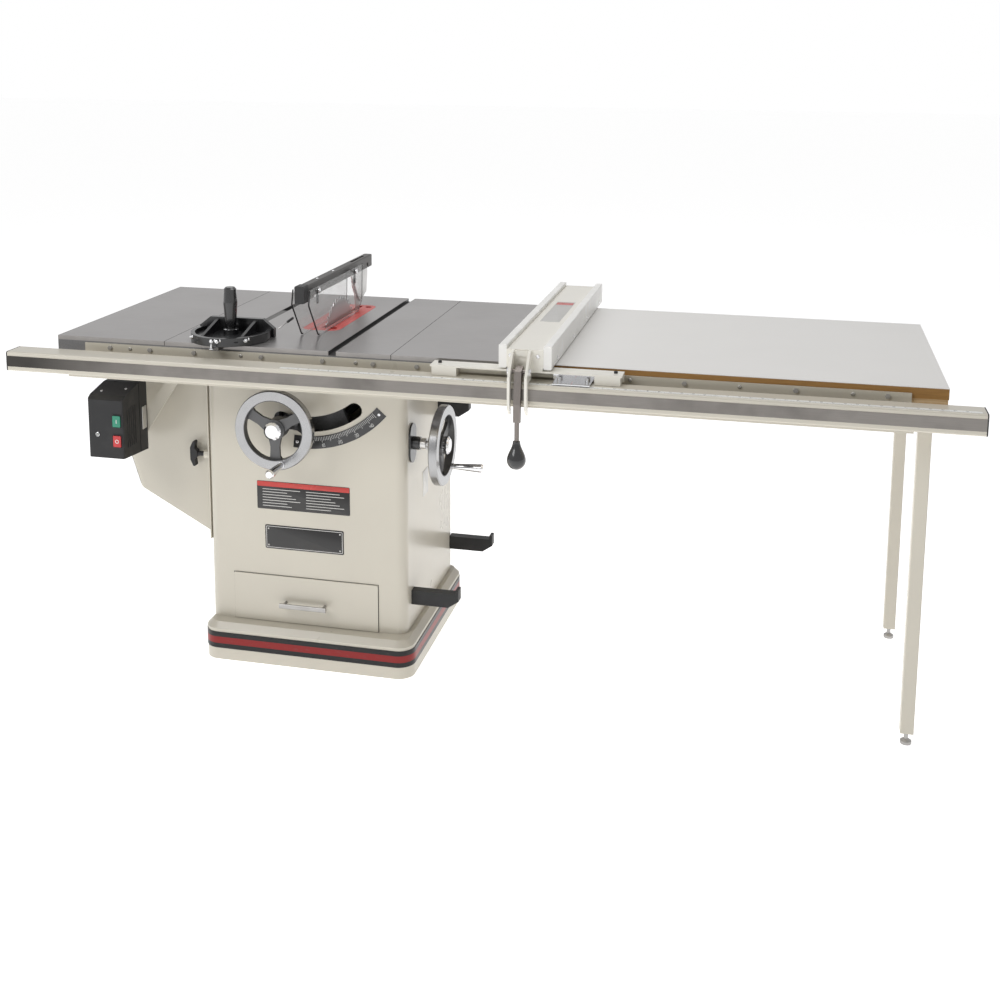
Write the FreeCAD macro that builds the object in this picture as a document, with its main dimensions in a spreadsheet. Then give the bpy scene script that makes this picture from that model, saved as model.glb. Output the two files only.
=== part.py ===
"""Left-tilting 10 inch cabinet table saw with long fence rails and an extension table.

Lengths are in millimetres.  The sub-parts are drawn from the table's front left corner: X runs
along the fence rail to the right, Y runs from the user to the back, Z is up from the floor.
Each sub-part's Placement then moves the origin to the middle of the saw's footprint.
"""
import FreeCAD, Part
import math
import os

import Sketcher
from FreeCAD import Placement, Rotation, Vector

os.makedirs("parts", exist_ok=True)
doc = FreeCAD.newDocument("table_saw")

SHEET_VALUES = {
    # cast-iron table, wings and extension board
    "table_height": 870, "table_depth": 686, "table_skirt": 38, "table_plate": 12,
    "wing_width": 297, "main_width": 596, "board_width": 991, "board_thick": 26,
    "slot_left": 447, "slot_right": 743, "slot_width": 19.05, "slot_depth": 9.6,
    "insert_front": 215, "insert_length": 345, "insert_width": 104, "insert_thick": 6,
    # cabinet and plinth
    "cabinet_left": 354, "cabinet_right": 896, "cabinet_front": 105, "cabinet_back": 577,
    "cabinet_wall": 2.5, "cabinet_corner": 26,
    "plinth_left": 348, "plinth_right": 922, "plinth_front": 57, "plinth_back": 592,
    "plinth_height": 99, "plinth_corner": 42, "plinth_wall": 22, "plinth_bevel": 14,
    "band_bottom": 32, "band_black": 13, "band_red": 18, "band_thick": 1.6,
    "drawer_left": 423, "drawer_right": 821, "drawer_bottom": 100, "drawer_top": 228,
    "drawer_depth": 330, "pull_width": 128, "dust_bore": 48, "dust_outside": 50.8,
    "dust_height": 312,
    # fence rail
    "rail_left": -90, "rail_right": 2252, "rail_front": -93.5, "rail_deep": 63.5,
    "rail_high": 50, "rail_top": 843, "rail_wall": 3.2, "angle_thick": 5,
    # rip fence
    "fence_left": 1174, "fence_front": -60, "fence_back": 760, "face_thick": 19,
    "face_high": 55, "fence_tube": 87, "table_gap": 2, "lever_knob_out": -112,
    "lever_knob_radius": 17, "lever_centre": 1229,
    # blade, arbor and the tilt
    "blade_centre": 628, "blade_radius": 127, "blade_plate": 1.8,
    "arbor_radius": 7.9375, "arbor_back": 375, "arbor_high": 803,
    "pivot_back": 500, "pivot_high": 760, "motor_back": 375, "motor_high": 612,
    "motor_radius": 84, "motor_left": 252, "motor_length": 256,
    "shaft_across": 578, "shaft_high": 652, "shaft_radius": 8, "wheel_radius": 103,
    "wheel_face": 13, "side_shaft_back": 163, "side_shaft_high": 600, "side_wheel_face": 990,
    "sector_radius": 255, "sector_back": 155, "sector_thick": 16,
    # guard
    "guard_front": 88, "guard_back": 624, "guard_low": 974, "guard_high": 1009,
    "shield_gap": 21, "shield_thick": 3,
    # legs
    "leg_across": 2137, "leg_front": 40, "leg_back": 602, "leg_wide": 31, "leg_clear": 30,
}


class Size:
    """A length with its value and the expression that ties a property to the sheet."""

    def __init__(self, value, text):
        self.value = value
        self.text = text

    def __add__(self, other):
        other = as_size(other)
        return Size(self.value + other.value, f"({self.text} + {other.text})")

    def __sub__(self, other):
        other = as_size(other)
        return Size(self.value - other.value, f"({self.text} - {other.text})")

    def __mul__(self, other):
        other = as_size(other)
        return Size(self.value * other.value, f"({self.text} * {other.text})")

    def __truediv__(self, other):
        other = as_size(other)
        return Size(self.value / other.value, f"({self.text} / {other.text})")

    def __radd__(self, other):
        return as_size(other) + self

    def __rsub__(self, other):
        return as_size(other) - self

    def __rmul__(self, other):
        return as_size(other) * self

    def __neg__(self):
        return Size(-self.value, f"(0 - {self.text})")


def as_size(number):
    """Give a plain number the same form as a length from the sheet."""
    if isinstance(number, Size):
        return number
    number = round(float(number), 6)
    return Size(number, f"{number}" if number >= 0 else f"(0 - {-number})")


def make_sheet():
    """Write the driving dimensions into the spreadsheet and return them by name."""
    sheet = doc.addObject("Spreadsheet::Sheet", "Sizes")
    sizes = {}
    for row, (word, value) in enumerate(SHEET_VALUES.items(), start=1):
        sheet.set(f"A{row}", word)
        sheet.set(f"B{row}", str(value))
        sheet.setAlias(f"B{row}", word)
        sizes[word] = Size(float(value), f"Sizes.{word}")
    doc.recompute()
    return sizes


S = make_sheet()


def bind(part, prop, number):
    """Tie one property of an object to the sheet."""
    part.setExpression(prop, as_size(number).text)


def put(part, x, y, z, turn=Rotation()):
    """Place an object, with its position tied to the sheet."""
    x, y, z = as_size(x), as_size(y), as_size(z)
    part.Placement = Placement(Vector(x.value, y.value, z.value), turn)
    bind(part, "Placement.Base.x", x)
    bind(part, "Placement.Base.y", y)
    bind(part, "Placement.Base.z", z)
    return part


# ---------------------------------------------------------------- primitives and booleans

AXIS_TURN = {
    "X": Rotation(Vector(0, 1, 0), 90),
    "Y": Rotation(Vector(1, 0, 0), -90),
    "Z": Rotation(),
}
DOWN_TURN = Rotation(Vector(0, 0, -1), Vector(1, 0, 0), Vector(0, -1, 0), "XYZ")


def box(name, x, y, z):
    """A block between two X, two Y and two Z values."""
    part = doc.addObject("Part::Box", name)
    for prop, (low, high) in zip(("Length", "Width", "Height"), (x, y, z)):
        bind(part, prop, as_size(high) - low)
    return put(part, x[0], y[0], z[0])


def rod(name, axis, start, radius, length):
    """A cylinder from its start point along an axis."""
    part = doc.addObject("Part::Cylinder", name)
    bind(part, "Radius", radius)
    bind(part, "Height", length)
    return put(part, *start, AXIS_TURN[axis])


def taper(name, axis, start, radius, end_radius, length):
    """A cone from its start point along an axis."""
    part = doc.addObject("Part::Cone", name)
    bind(part, "Radius1", radius)
    bind(part, "Radius2", end_radius)
    bind(part, "Height", length)
    return put(part, *start, AXIS_TURN[axis])


def ball(name, centre, radius):
    """A sphere."""
    part = doc.addObject("Part::Sphere", name)
    bind(part, "Radius", radius)
    return put(part, *centre)


def join(name, parts):
    """One solid from several that meet."""
    part = doc.addObject("Part::MultiFuse", name)
    part.Shapes = parts
    return part


def cut(name, base, tools):
    """The base with every tool taken out of it."""
    tool = tools[0] if len(tools) == 1 else join(f"{name}_tools", tools)
    part = doc.addObject("Part::Cut", name)
    part.Base = base
    part.Tool = tool
    return part


def group(name, parts):
    """Separate solids in one sub-part."""
    part = doc.addObject("Part::Compound", name)
    part.Links = parts
    return part


def along(axis, least=0.0):
    """Choose the straight edges that run along an axis."""
    direction = {"X": Vector(1, 0, 0), "Y": Vector(0, 1, 0), "Z": Vector(0, 0, 1)}[axis]

    def chosen(edge):
        if not isinstance(edge.Curve, Part.Line) or edge.Length < least:
            return False
        return abs(edge.Curve.Direction.dot(direction)) > 0.999
    return chosen


def rounded(name, base, radius, chosen):
    """Round the chosen edges of a finished shape."""
    doc.recompute()
    part = doc.addObject("Part::Fillet", name)
    part.Base = base
    number = as_size(radius).value
    part.Edges = [
        (index, number, number)
        for index, edge in enumerate(base.Shape.Edges, start=1) if chosen(edge)
    ]
    return part


def rounded_box(name, x, y, z, radius, axis="Z"):
    """A block with the four edges along one axis rounded."""
    return rounded(name, box(f"{name}_block", x, y, z), radius, along(axis))


def sector(name, inner, outer, angles, y):
    """A ring segment about the tilt axis; angles are from straight down, positive to the right."""
    first, last = angles
    turn = Rotation(Vector(0, 1, 0), -first) * DOWN_TURN
    start = (S["blade_centre"], y[1], S["table_height"])
    disc = doc.addObject("Part::Cylinder", f"{name}_disc")
    bind(disc, "Radius", outer)
    bind(disc, "Height", as_size(y[1]) - y[0])
    disc.Angle = last - first
    put(disc, *start, turn)
    core_start = (S["blade_centre"], as_size(y[0]) - 1, S["table_height"])
    core = rod(f"{name}_core", "Y", core_start, inner, as_size(y[1]) - y[0] + 2)
    return cut(name, disc, [core])


def on_arc(radius, angle):
    """X and Z of a point at a radius and an angle from straight down about the tilt axis."""
    radians = math.radians(angle)
    return (S["blade_centre"] + radius * math.sin(radians),
            S["table_height"] - radius * math.cos(radians))


# ---------------------------------------------------------------- sketches and bodies

def origin_plane(body, role):
    """A body's own origin plane."""
    for feature in body.Origin.OriginFeatures:
        if feature.Role == role:
            return feature
    raise ValueError(role)


def sketch_on(body, role, offset, name):
    """A sketch on an origin plane of the body, moved along the plane's normal."""
    sketch = body.newObject("Sketcher::SketchObject", name)
    sketch.AttachmentSupport = [(origin_plane(body, role), "")]
    sketch.MapMode = "FlatFace"
    offset = as_size(offset)
    sketch.AttachmentOffset = Placement(Vector(0, 0, offset.value), Rotation())
    bind(sketch, "AttachmentOffset.Base.z", offset)
    return sketch


def pin_point(sketch, geometry, corner, across, up):
    """Fix one point of a sketch at two lengths from the origin."""
    for kind, number in (("DistanceX", across), ("DistanceY", up)):
        number = as_size(number)
        index = sketch.addConstraint(
            Sketcher.Constraint(kind, -1, 1, geometry, corner, number.value))
        bind(sketch, f"Constraints[{index}]", number)


def add_outline(sketch, points):
    """A closed outline of straight lines through the points."""
    points = [(as_size(across), as_size(up)) for across, up in points]
    first = sketch.GeometryCount
    count = len(points)
    for index, (across, up) in enumerate(points):
        next_across, next_up = points[(index + 1) % count]
        sketch.addGeometry(Part.LineSegment(
            Vector(across.value, up.value, 0), Vector(next_across.value, next_up.value, 0)))
    for index in range(count):
        following = first + (index + 1) % count
        sketch.addConstraint(Sketcher.Constraint("Coincident", first + index, 2, following, 1))
    for index, (across, up) in enumerate(points):
        pin_point(sketch, first + index, 1, across, up)


def add_circle(sketch, across, up, radius):
    """A circle with its centre and radius tied to the sheet."""
    across, up, radius = as_size(across), as_size(up), as_size(radius)
    index = sketch.addGeometry(
        Part.Circle(Vector(across.value, up.value, 0), Vector(0, 0, 1), radius.value))
    pin_point(sketch, index, 3, across, up)
    limit = sketch.addConstraint(Sketcher.Constraint("Radius", index, radius.value))
    bind(sketch, f"Constraints[{limit}]", radius)


def corners(x, y):
    """The four corners of a rectangle."""
    return [(x[0], y[0]), (x[1], y[0]), (x[1], y[1]), (x[0], y[1])]


def new_body(name):
    """A PartDesign body."""
    return doc.addObject("PartDesign::Body", name)


def pad(body, sketch, length, name):
    """Extrude a sketch along its normal."""
    feature = body.newObject("PartDesign::Pad", name)
    feature.Profile = sketch
    bind(feature, "Length", length)
    sketch.Visibility = False
    return feature


def pocket(body, sketch, length, name, along_normal=False):
    """Cut a sketch into the body, against its normal unless told otherwise."""
    doc.recompute()
    before = body.Shape.Volume
    feature = body.newObject("PartDesign::Pocket", name)
    feature.Profile = sketch
    feature.Reversed = along_normal
    bind(feature, "Length", length)
    doc.recompute()
    if body.Shape.Volume > before - 0.01:
        raise ValueError(f"{name} cut nothing")
    return feature


def dress(body, kind, base, size, chosen, name):
    """Fillet or chamfer the chosen edges of a body's last feature."""
    doc.recompute()
    feature = body.newObject(f"PartDesign::{kind}", name)
    names = [f"Edge{index}" for index, edge in enumerate(base.Shape.Edges, start=1)
             if chosen(edge)]
    feature.Base = (base, names)
    bind(feature, "Radius" if kind == "Fillet" else "Size", size)
    return feature


def plate_x(name, x, outline, circles=()):
    """A plate between two X values whose outline is given in Y and Z."""
    body = new_body(name)
    sketch = sketch_on(body, "YZ_Plane", x[0], f"{name}_outline")
    add_outline(sketch, outline)
    for centre_y, centre_z, radius in circles:
        add_circle(sketch, centre_y, centre_z, radius)
    pad(body, sketch, as_size(x[1]) - x[0], f"{name}_pad")
    return body


def plate_y(name, y, outline, circles=()):
    """A plate between two Y values whose outline is given in X and Z."""
    body = new_body(name)
    sketch = sketch_on(body, "XZ_Plane", -as_size(y[1]), f"{name}_outline")
    add_outline(sketch, outline)
    for centre_x, centre_z, radius in circles:
        add_circle(sketch, centre_x, centre_z, radius)
    pad(body, sketch, as_size(y[1]) - y[0], f"{name}_pad")
    return body


# ---------------------------------------------------------------- named places

TOP = S["table_height"]
SKIRT = TOP - S["table_skirt"]
MAIN = (S["wing_width"], S["wing_width"] + S["main_width"])
RIGHT_WING = (MAIN[1], MAIN[1] + S["wing_width"])
BOARD = (RIGHT_WING[1], RIGHT_WING[1] + S["board_width"])
INSERT_X = (S["blade_centre"] - S["insert_width"] / 2, S["blade_centre"] + S["insert_width"] / 2)
INSERT_Y = (S["insert_front"], S["insert_front"] + S["insert_length"])
CABINET_X = (S["cabinet_left"], S["cabinet_right"])
CABINET_Y = (S["cabinet_front"], S["cabinet_back"])
CABINET_Z = (S["plinth_height"], SKIRT)
RAIL_X = (S["rail_left"], S["rail_right"])
RAIL_Y = (S["rail_front"], S["rail_front"] + S["rail_deep"])
RAIL_Z = (S["rail_top"] - S["rail_high"], S["rail_top"])
END_CAP = 3.0
FENCE_Z = (TOP + S["table_gap"], TOP + S["table_gap"] + S["face_high"])
FRAME_X = (S["rail_left"] + S["rail_right"]) / 2
FRAME_Y = (S["lever_knob_out"] - S["lever_knob_radius"] + S["fence_back"]) / 2

finished = []


def finish(name, part):
    """Name a sub-part and move it into the saw's own frame."""
    part.Label = name
    put(part, -FRAME_X, -FRAME_Y, 0)
    finished.append(part)


# ---------------------------------------------------------------- plinth and cabinet

def make_plinth():
    body = new_body("plinth_body")
    x = (S["plinth_left"], S["plinth_right"])
    y = (S["plinth_front"], S["plinth_back"])
    wall = S["plinth_wall"]
    sketch = sketch_on(body, "XY_Plane", 0, "plinth_outline")
    add_outline(sketch, corners(x, y))
    block = pad(body, sketch, S["plinth_height"], "plinth_pad")
    sides = dress(body, "Fillet", block, S["plinth_corner"], along("Z"), "plinth_corners")
    doc.recompute()
    dress(body, "Chamfer", sides, S["plinth_bevel"],
          lambda edge: min(vertex.Z for vertex in edge.Vertexes) > S["plinth_height"].value - 1,
          "plinth_ledge")
    hollow = sketch_on(body, "XY_Plane", 0, "plinth_hollow_outline")
    add_outline(hollow, corners((x[0] + wall, x[1] - wall), (y[0] + wall, y[1] - wall)))
    pocket(body, hollow, S["plinth_height"] - 8, "plinth_hollow", along_normal=True)
    finish("plinth", body)

    rings = []
    bottom = S["band_bottom"]
    thick = S["band_thick"]
    for index, high in enumerate((S["band_black"], S["band_red"], S["band_black"])):
        z = (bottom, bottom + high)
        outer = rounded_box(f"band_{index}_outside", (x[0] - thick, x[1] + thick),
                            (y[0] - thick, y[1] + thick), z, S["plinth_corner"] + thick)
        inner = rounded_box(f"band_{index}_inside", x, y, (z[0] - 1, z[1] + 1),
                            S["plinth_corner"])
        rings.append(cut(f"band_{index}", outer, [inner]))
        bottom = bottom + high
    finish("plinth_bands", group("plinth_band_rings", rings))


# The motor cover's vertical hinge: its axis, and the two places of the cabinet's knuckles.
HINGE = (347.5, 567)
HINGE_LOWS = (400, 640)
KNUCKLE = 30

SLOT_INNER = 203.0
SLOT_OUTER = 243.0
SLOT_FROM = -17.0
SLOT_TO = 37.0


def make_cabinet():
    wall = S["cabinet_wall"]
    corner = S["cabinet_corner"]
    shell = rounded_box("cabinet_outside", CABINET_X, CABINET_Y, CABINET_Z, corner)
    inside = rounded_box(
        "cabinet_inside", (CABINET_X[0] + wall, CABINET_X[1] - wall),
        (CABINET_Y[0] + wall, CABINET_Y[1] - wall),
        (CABINET_Z[0] + wall, CABINET_Z[1] + 5), corner - wall)
    front = (CABINET_Y[0] - 5, CABINET_Y[0] + 10)
    middle = (SLOT_INNER + SLOT_OUTER) / 2
    half = (SLOT_OUTER - SLOT_INNER) / 2
    slot = [sector("cabinet_slot", SLOT_INNER, SLOT_OUTER, (SLOT_FROM, SLOT_TO), front)]
    for index, angle in enumerate((SLOT_FROM, SLOT_TO)):
        x, z = on_arc(middle, angle)
        slot.append(rod(f"cabinet_slot_end_{index}", "Y", (x, front[0], z), half, 15))
    drawer_hole = box("cabinet_drawer_hole", (S["drawer_left"] + 4, S["drawer_right"] - 4),
                      front, (S["drawer_bottom"] + 4, S["drawer_top"] - 4))
    motor_hole = rounded_box("cabinet_motor_hole", (CABINET_X[0] - 5, CABINET_X[0] + 10),
                             (225, 552), (372, 765), 20, "X")
    shaft_hole = rod("cabinet_shaft_hole", "X",
                     (CABINET_X[1] - 10, S["side_shaft_back"], S["side_shaft_high"]), 12, 20)
    dust_hole = rod("cabinet_dust_hole", "Y",
                    (S["blade_centre"], CABINET_Y[1] - 10, S["dust_height"]), S["dust_bore"], 20)
    opened = cut("cabinet_shell", shell,
                 [inside, *slot, drawer_hole, motor_hole, shaft_hole, dust_hole])
    knuckles = []
    bores = []
    for low in HINGE_LOWS:
        knuckles.append(rod("cabinet_knuckle", "Z", (*HINGE, low), 6, KNUCKLE))
        knuckles.append(box("cabinet_leaf", (HINGE[0], CABINET_X[0] + 14),
                            (HINGE[1] + 3, HINGE[1] + 6), (low, low + KNUCKLE)))
        bores.append(rod("cabinet_knuckle_bore", "Z", (*HINGE, low - 1), 3.06, KNUCKLE + 2))
    finish("cabinet", cut("cabinet_solid", join("cabinet_whole", [opened, *knuckles]), bores))


def make_drawer_bay():
    """The sloping dust chute over the drawer, with the drawer's two side walls and runners."""
    wall = S["cabinet_wall"]
    front = CABINET_Y[0] + wall
    back = CABINET_Y[1] - wall
    sides = (CABINET_X[0] + wall, CABINET_X[1] - wall)
    chute = doc.addObject("Part::Common", "drawer_bay_chute")
    chute.Base = plate_x("chute_sheet", sides,
                         [(front, 327), (back, 252), (back, 254), (front, 329)])
    chute.Tool = rounded_box("chute_limit", sides, (front, back), (240, 340),
                             S["cabinet_corner"] - wall)
    walls = []
    for name, x in (("left", S["drawer_left"] + 1), ("right", S["drawer_right"] - 3)):
        walls.append(plate_x(f"drawer_bay_{name}", (x, x + 2), [
            (front, 101.5), (470, 101.5), (470, 270), (front, 328)]))
    for name, x in (("left", S["drawer_left"] + 2), ("right", S["drawer_right"] - 20)):
        walls.append(box(f"drawer_runner_{name}", (x, x + 18), (front, 470), (101.5, 106.5)))
    finish("drawer_bay", join("drawer_bay_sheet", [chute, *walls]))


def make_drawer():
    x = (S["drawer_left"], S["drawer_right"])
    front = CABINET_Y[0]
    panel = rounded_box("drawer_front", x, (front - 3.6, front - 0.4),
                        (S["drawer_bottom"] + 0.5, S["drawer_top"]), 3, "Y")
    tray_x = (x[0] + 8, x[1] - 8)
    tray_y = (front - 0.6, front + S["drawer_depth"])
    tray_z = (S["drawer_bottom"] + 7.2, S["drawer_top"] - 12)
    tray = box("drawer_tray", tray_x, tray_y, tray_z)
    hollow = box("drawer_hollow", (tray_x[0] + 1.5, tray_x[1] - 1.5),
                 (tray_y[0] + 2, tray_y[1] - 1.5), (tray_z[0] + 1.5, tray_z[1] + 5))
    finish("drawer", cut("drawer_box", join("drawer_whole", [panel, tray]), [hollow]))

    middle = (x[0] + x[1]) / 2
    half = S["pull_width"] / 2
    bar = rounded_box("pull_bar", (middle - half, middle + half), (front - 30, front - 23),
                      (150, 163), 3, "X")
    posts = [
        rod(f"pull_post_{side}", "Y", (middle + side * (half - 10), front - 25, 156.5), 4, 21.4)
        for side in (-1, 1)
    ]
    finish("drawer_pull", join("drawer_pull_solid", [bar, *posts]))


def make_dust_port():
    back = CABINET_Y[1]
    centre = (S["blade_centre"], back, S["dust_height"])
    flange = rounded_box("dust_flange", (centre[0] - 72, centre[0] + 72), (back, back + 3),
                         (centre[2] - 72, centre[2] + 72), 10, "Y")
    spigot = rod("dust_spigot", "Y", centre, S["dust_outside"], 58)
    bead = rod("dust_collar", "Y", (centre[0], back, centre[2]), S["dust_outside"] + 5, 8)
    bore = rod("dust_bore_tool", "Y", (centre[0], back - 5, centre[2]), S["dust_bore"], 80)
    finish("dust_port", cut("dust_port_solid", join("dust_whole", [flange, spigot, bead]),
                            [bore]))


def make_side_plate():
    """The oval cover plate that the side handwheel's shaft passes through."""
    x = (CABINET_X[1], CABINET_X[1] + 5)
    back = S["side_shaft_back"]
    high = S["side_shaft_high"]
    ends = [rod(f"side_plate_{index}", "X", (x[0], back, high + lift), 27, 5)
            for index, lift in enumerate((-25, 25))]
    bar = box("side_plate_bar", x, (back - 27, back + 27), (high - 25, high + 25))
    boss = rod("side_plate_boss", "X", (x[0], back, high), 17, 24)
    bore = rod("side_plate_bore", "X", (x[0] - 5, back, high), S["shaft_radius"] + 0.08, 60)
    finish("side_shaft_plate", cut("side_plate_solid",
                                   join("side_plate_whole", [*ends, bar, boss]), [bore]))


def make_tilt_scale():
    """The black angle scale below the tilt slot, concentric with it."""
    front = CABINET_Y[0]
    finish("tilt_scale", sector("tilt_scale_plate", 255, 288, (-6.5, 49.5), (front - 1.2, front)))


def make_hooks():
    """Three black hooks on the right side: two low ones for the fence and a short upper one."""
    x = CABINET_X[1]
    arms = []
    for index, (back, low, high, reach) in enumerate(((167, 163, 201, 127), (555, 163, 201, 127),
                                                      (430, 600, 650, 88))):
        arms.append(plate_y(f"hook_{index}", (back - 13, back + 13), [
            (x, low), (x + reach - 28, low), (x + reach, low + 19), (x + reach, high + 12),
            (x + reach - 8, high + 12), (x + reach - 8, high), (x, high)]))
    finish("storage_hooks", group("hook_set", arms))


def make_motor_cover():
    """Pressed cover over the motor opening, a shell open towards the cabinet."""
    y = (150, 560)
    wall = S["cabinet_wall"]
    right = CABINET_X[0] - 0.4
    outside = [(right, 308), (right, 775), (104, 775), (104, 510), (130, 428)]
    inside = [(right + 5, 311), (right + 5, 772.5), (106.5, 772.5), (106.5, 510.5), (132, 431)]
    shell = rounded("cover_outside", plate_y("cover_block", y, outside), 14,
                    lambda edge: edge.BoundBox.XMax < right.value - 1)
    hollow = plate_y("cover_hollow", (y[0] + wall, y[1] - wall), inside)
    rim = box("cover_rim", (right - 3, right), (y[0] - 34, y[1]), (308, 775))
    rim_hole = box("cover_rim_hole", (right - 10, right + 5), (y[0] + wall, y[1] - wall),
                   (330, 772.5))
    whole = cut("cover_shell", shell, [hollow])
    flange = cut("cover_flange", rim, [rim_hole])
    knob_hole = rod("cover_knob_hole", "X", (right - 20, 132, 537), 6.6, 40)
    hinge = []
    for low in HINGE_LOWS:
        base = low + KNUCKLE + 0.5
        hinge.append(rod("cover_knuckle", "Z", (*HINGE, base), 6, KNUCKLE))
        hinge.append(rod("cover_pin", "Z", (*HINGE, low + 2), 3, KNUCKLE + 4))
        hinge.append(box("cover_leaf", (HINGE[0] - 6, HINGE[0] - 2), (y[1] - 4, HINGE[1] + 1),
                         (base, base + KNUCKLE)))
    guide = rod("cover_knob_guide", "X", (right - 18, 132, 537), 12, 17)
    finish("motor_cover", cut("cover_solid", join("cover_whole", [whole, flange, guide, *hinge]),
                              [knob_hole]))

    stem = rod("knob_stem", "X", (right - 44, 132, 537), 6.5, 43.6)
    head = rounded("knob_head", plate_y("knob_bar", (124, 140), [
        (right - 58, 520), (right - 58, 554), (right - 50, 571), (right - 43, 571),
        (right - 46, 552), (right - 38, 544), (right - 38, 530), (right - 46, 522),
        (right - 43, 503), (right - 50, 503)]), 3, along("Y"))
    finish("cover_knob", join("cover_knob_solid", [stem, head]))


# ---------------------------------------------------------------- table top

def waffle(name, x, y, ribs_x, ribs_y, plate):
    """The hollows under a ribbed casting, between its skirt and its ribs."""
    wall = 12
    edges_x = [x[0] + wall, *ribs_x, x[1] - wall]
    edges_y = [y[0] + wall, *ribs_y, y[1] - wall]
    hollows = []
    for i in range(0, len(edges_x), 2):
        for j in range(0, len(edges_y), 2):
            hollows.append(box(f"{name}_hollow_{i}_{j}", (edges_x[i], edges_x[i + 1]),
                               (edges_y[j], edges_y[j + 1]), (SKIRT - 1, TOP - plate)))
    return hollows


def make_main_table():
    depth = (0, S["table_depth"])
    block = box("table_block", MAIN, depth, (SKIRT, TOP))
    hollows = waffle("table", MAIN, depth, [505, 513, 700, 708], [], S["table_plate"])
    throat = rounded_box("table_throat", INSERT_X, INSERT_Y, (SKIRT - 1, TOP + 1), 28)
    half = S["slot_width"] / 2
    slots = [
        box(f"table_slot_{index}", (centre - half, centre + half), (-5, S["table_depth"] + 5),
            (TOP - S["slot_depth"], TOP + 1))
        for index, centre in enumerate((S["slot_left"], S["slot_right"]))
    ]
    rough = cut("table_casting", block, [*hollows, throat, *slots])
    lugs = []
    for x in (INSERT_X[0] - 0.5, INSERT_X[1] - 15.5):
        for y in (INSERT_Y[0] + 28, INSERT_Y[1] - 44):
            lugs.append(box("table_lug", (x, x + 16), (y, y + 16),
                            (TOP - S["insert_thick"] - 8, TOP - S["insert_thick"])))
    beds = [box(f"table_slot_bed_{index}", (centre - 16, centre + 16), (6, S["table_depth"] - 6),
                (TOP - 20, TOP - S["slot_depth"]))
            for index, centre in enumerate((S["slot_left"], S["slot_right"]))]
    finish("main_table", join("main_table_solid", [rough, *lugs, *beds]))


def make_wings():
    depth = (0, S["table_depth"])
    for name, x in (("left_wing", (0, MAIN[0])), ("right_wing", RIGHT_WING)):
        x = (as_size(x[0]), x[1])
        middle = (x[0] + x[1]) / 2
        block = box(f"{name}_block", x, depth, (SKIRT, TOP))
        hollows = waffle(name, x, depth, [middle - 4, middle + 4], [225, 233, 453, 461], 9)
        finish(name, cut(f"{name}_casting", block, hollows))


def make_insert():
    x = (INSERT_X[0] + 0.4, INSERT_X[1] - 0.4)
    y = (INSERT_Y[0] + 0.4, INSERT_Y[1] - 0.4)
    z = (TOP - S["insert_thick"], TOP - 0.1)
    plate = rounded_box("insert_plate", x, y, z, 27.6)
    slot = rounded_box("insert_slot", (S["blade_centre"] - 3.6, S["blade_centre"] + 10.6),
                       (246, 547), (z[0] - 1, z[1] + 1), 4)
    holes = [rod(f"insert_hole_{index}", "Z", (centre_x, centre_y, z[0] - 1), 9, 10)
             for index, (centre_x, centre_y) in enumerate(((657, 250), (659, 534)))]
    finish("throat_insert", cut("insert_solid", plate, [slot, *holes]))


def make_board():
    depth = (1, S["table_depth"] - 1)
    bottom = TOP - S["board_thick"]
    top = TOP - 0.2
    finish("extension_board", rounded_box("board_panel", BOARD, depth, (bottom, top), 2))
    rail = (bottom - 22, bottom)
    beams = [
        box("frame_front", (BOARD[0], BOARD[1] - 2), (1, 23), rail),
        box("frame_back", (BOARD[0], BOARD[1] - 2), (S["table_depth"] - 23, S["table_depth"] - 1),
            rail),
    ]
    for index, x in enumerate((BOARD[0], BOARD[0] + 484, BOARD[1] - 60)):
        beams.append(box(f"frame_cross_{index}", (x, x + 58), (20, S["table_depth"] - 20), rail))
    finish("board_frame", join("board_frame_solid", beams))


def make_legs():
    half = S["leg_wide"] / 2
    top = TOP - S["board_thick"] - 22
    wall = 2
    legs = []
    for name, centre in (("front", S["leg_front"]), ("rear", S["leg_back"])):
        tube = rounded_box(f"{name}_leg_tube", (S["leg_across"] - half, S["leg_across"] + half),
                           (centre - half, centre + half), (S["leg_clear"], top), 3)
        inside = box(f"{name}_leg_inside",
                     (S["leg_across"] - half + wall, S["leg_across"] + half - wall),
                     (centre - half + wall, centre + half - wall), (S["leg_clear"] + 6, top - 3))
        thread = rod(f"{name}_leg_thread", "Z", (S["leg_across"], centre, 20), 5.08, 40)
        legs.append(cut(f"{name}_leg_solid", tube, [inside, thread]))
        pad_disc = rod(f"{name}_foot_disc", "Z", (S["leg_across"], centre, 0), 13, 7)
        cone = taper(f"{name}_foot_cone", "Z", (S["leg_across"], centre, 7), 13, 6, 5)
        screw = rod(f"{name}_foot_screw", "Z", (S["leg_across"], centre, 5), 5, 55)
        finish(f"{name}_leg_foot", join(f"{name}_foot_solid", [pad_disc, cone, screw]))
    finish("table_legs", group("table_leg_pair", legs))


# ---------------------------------------------------------------- rails

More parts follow.
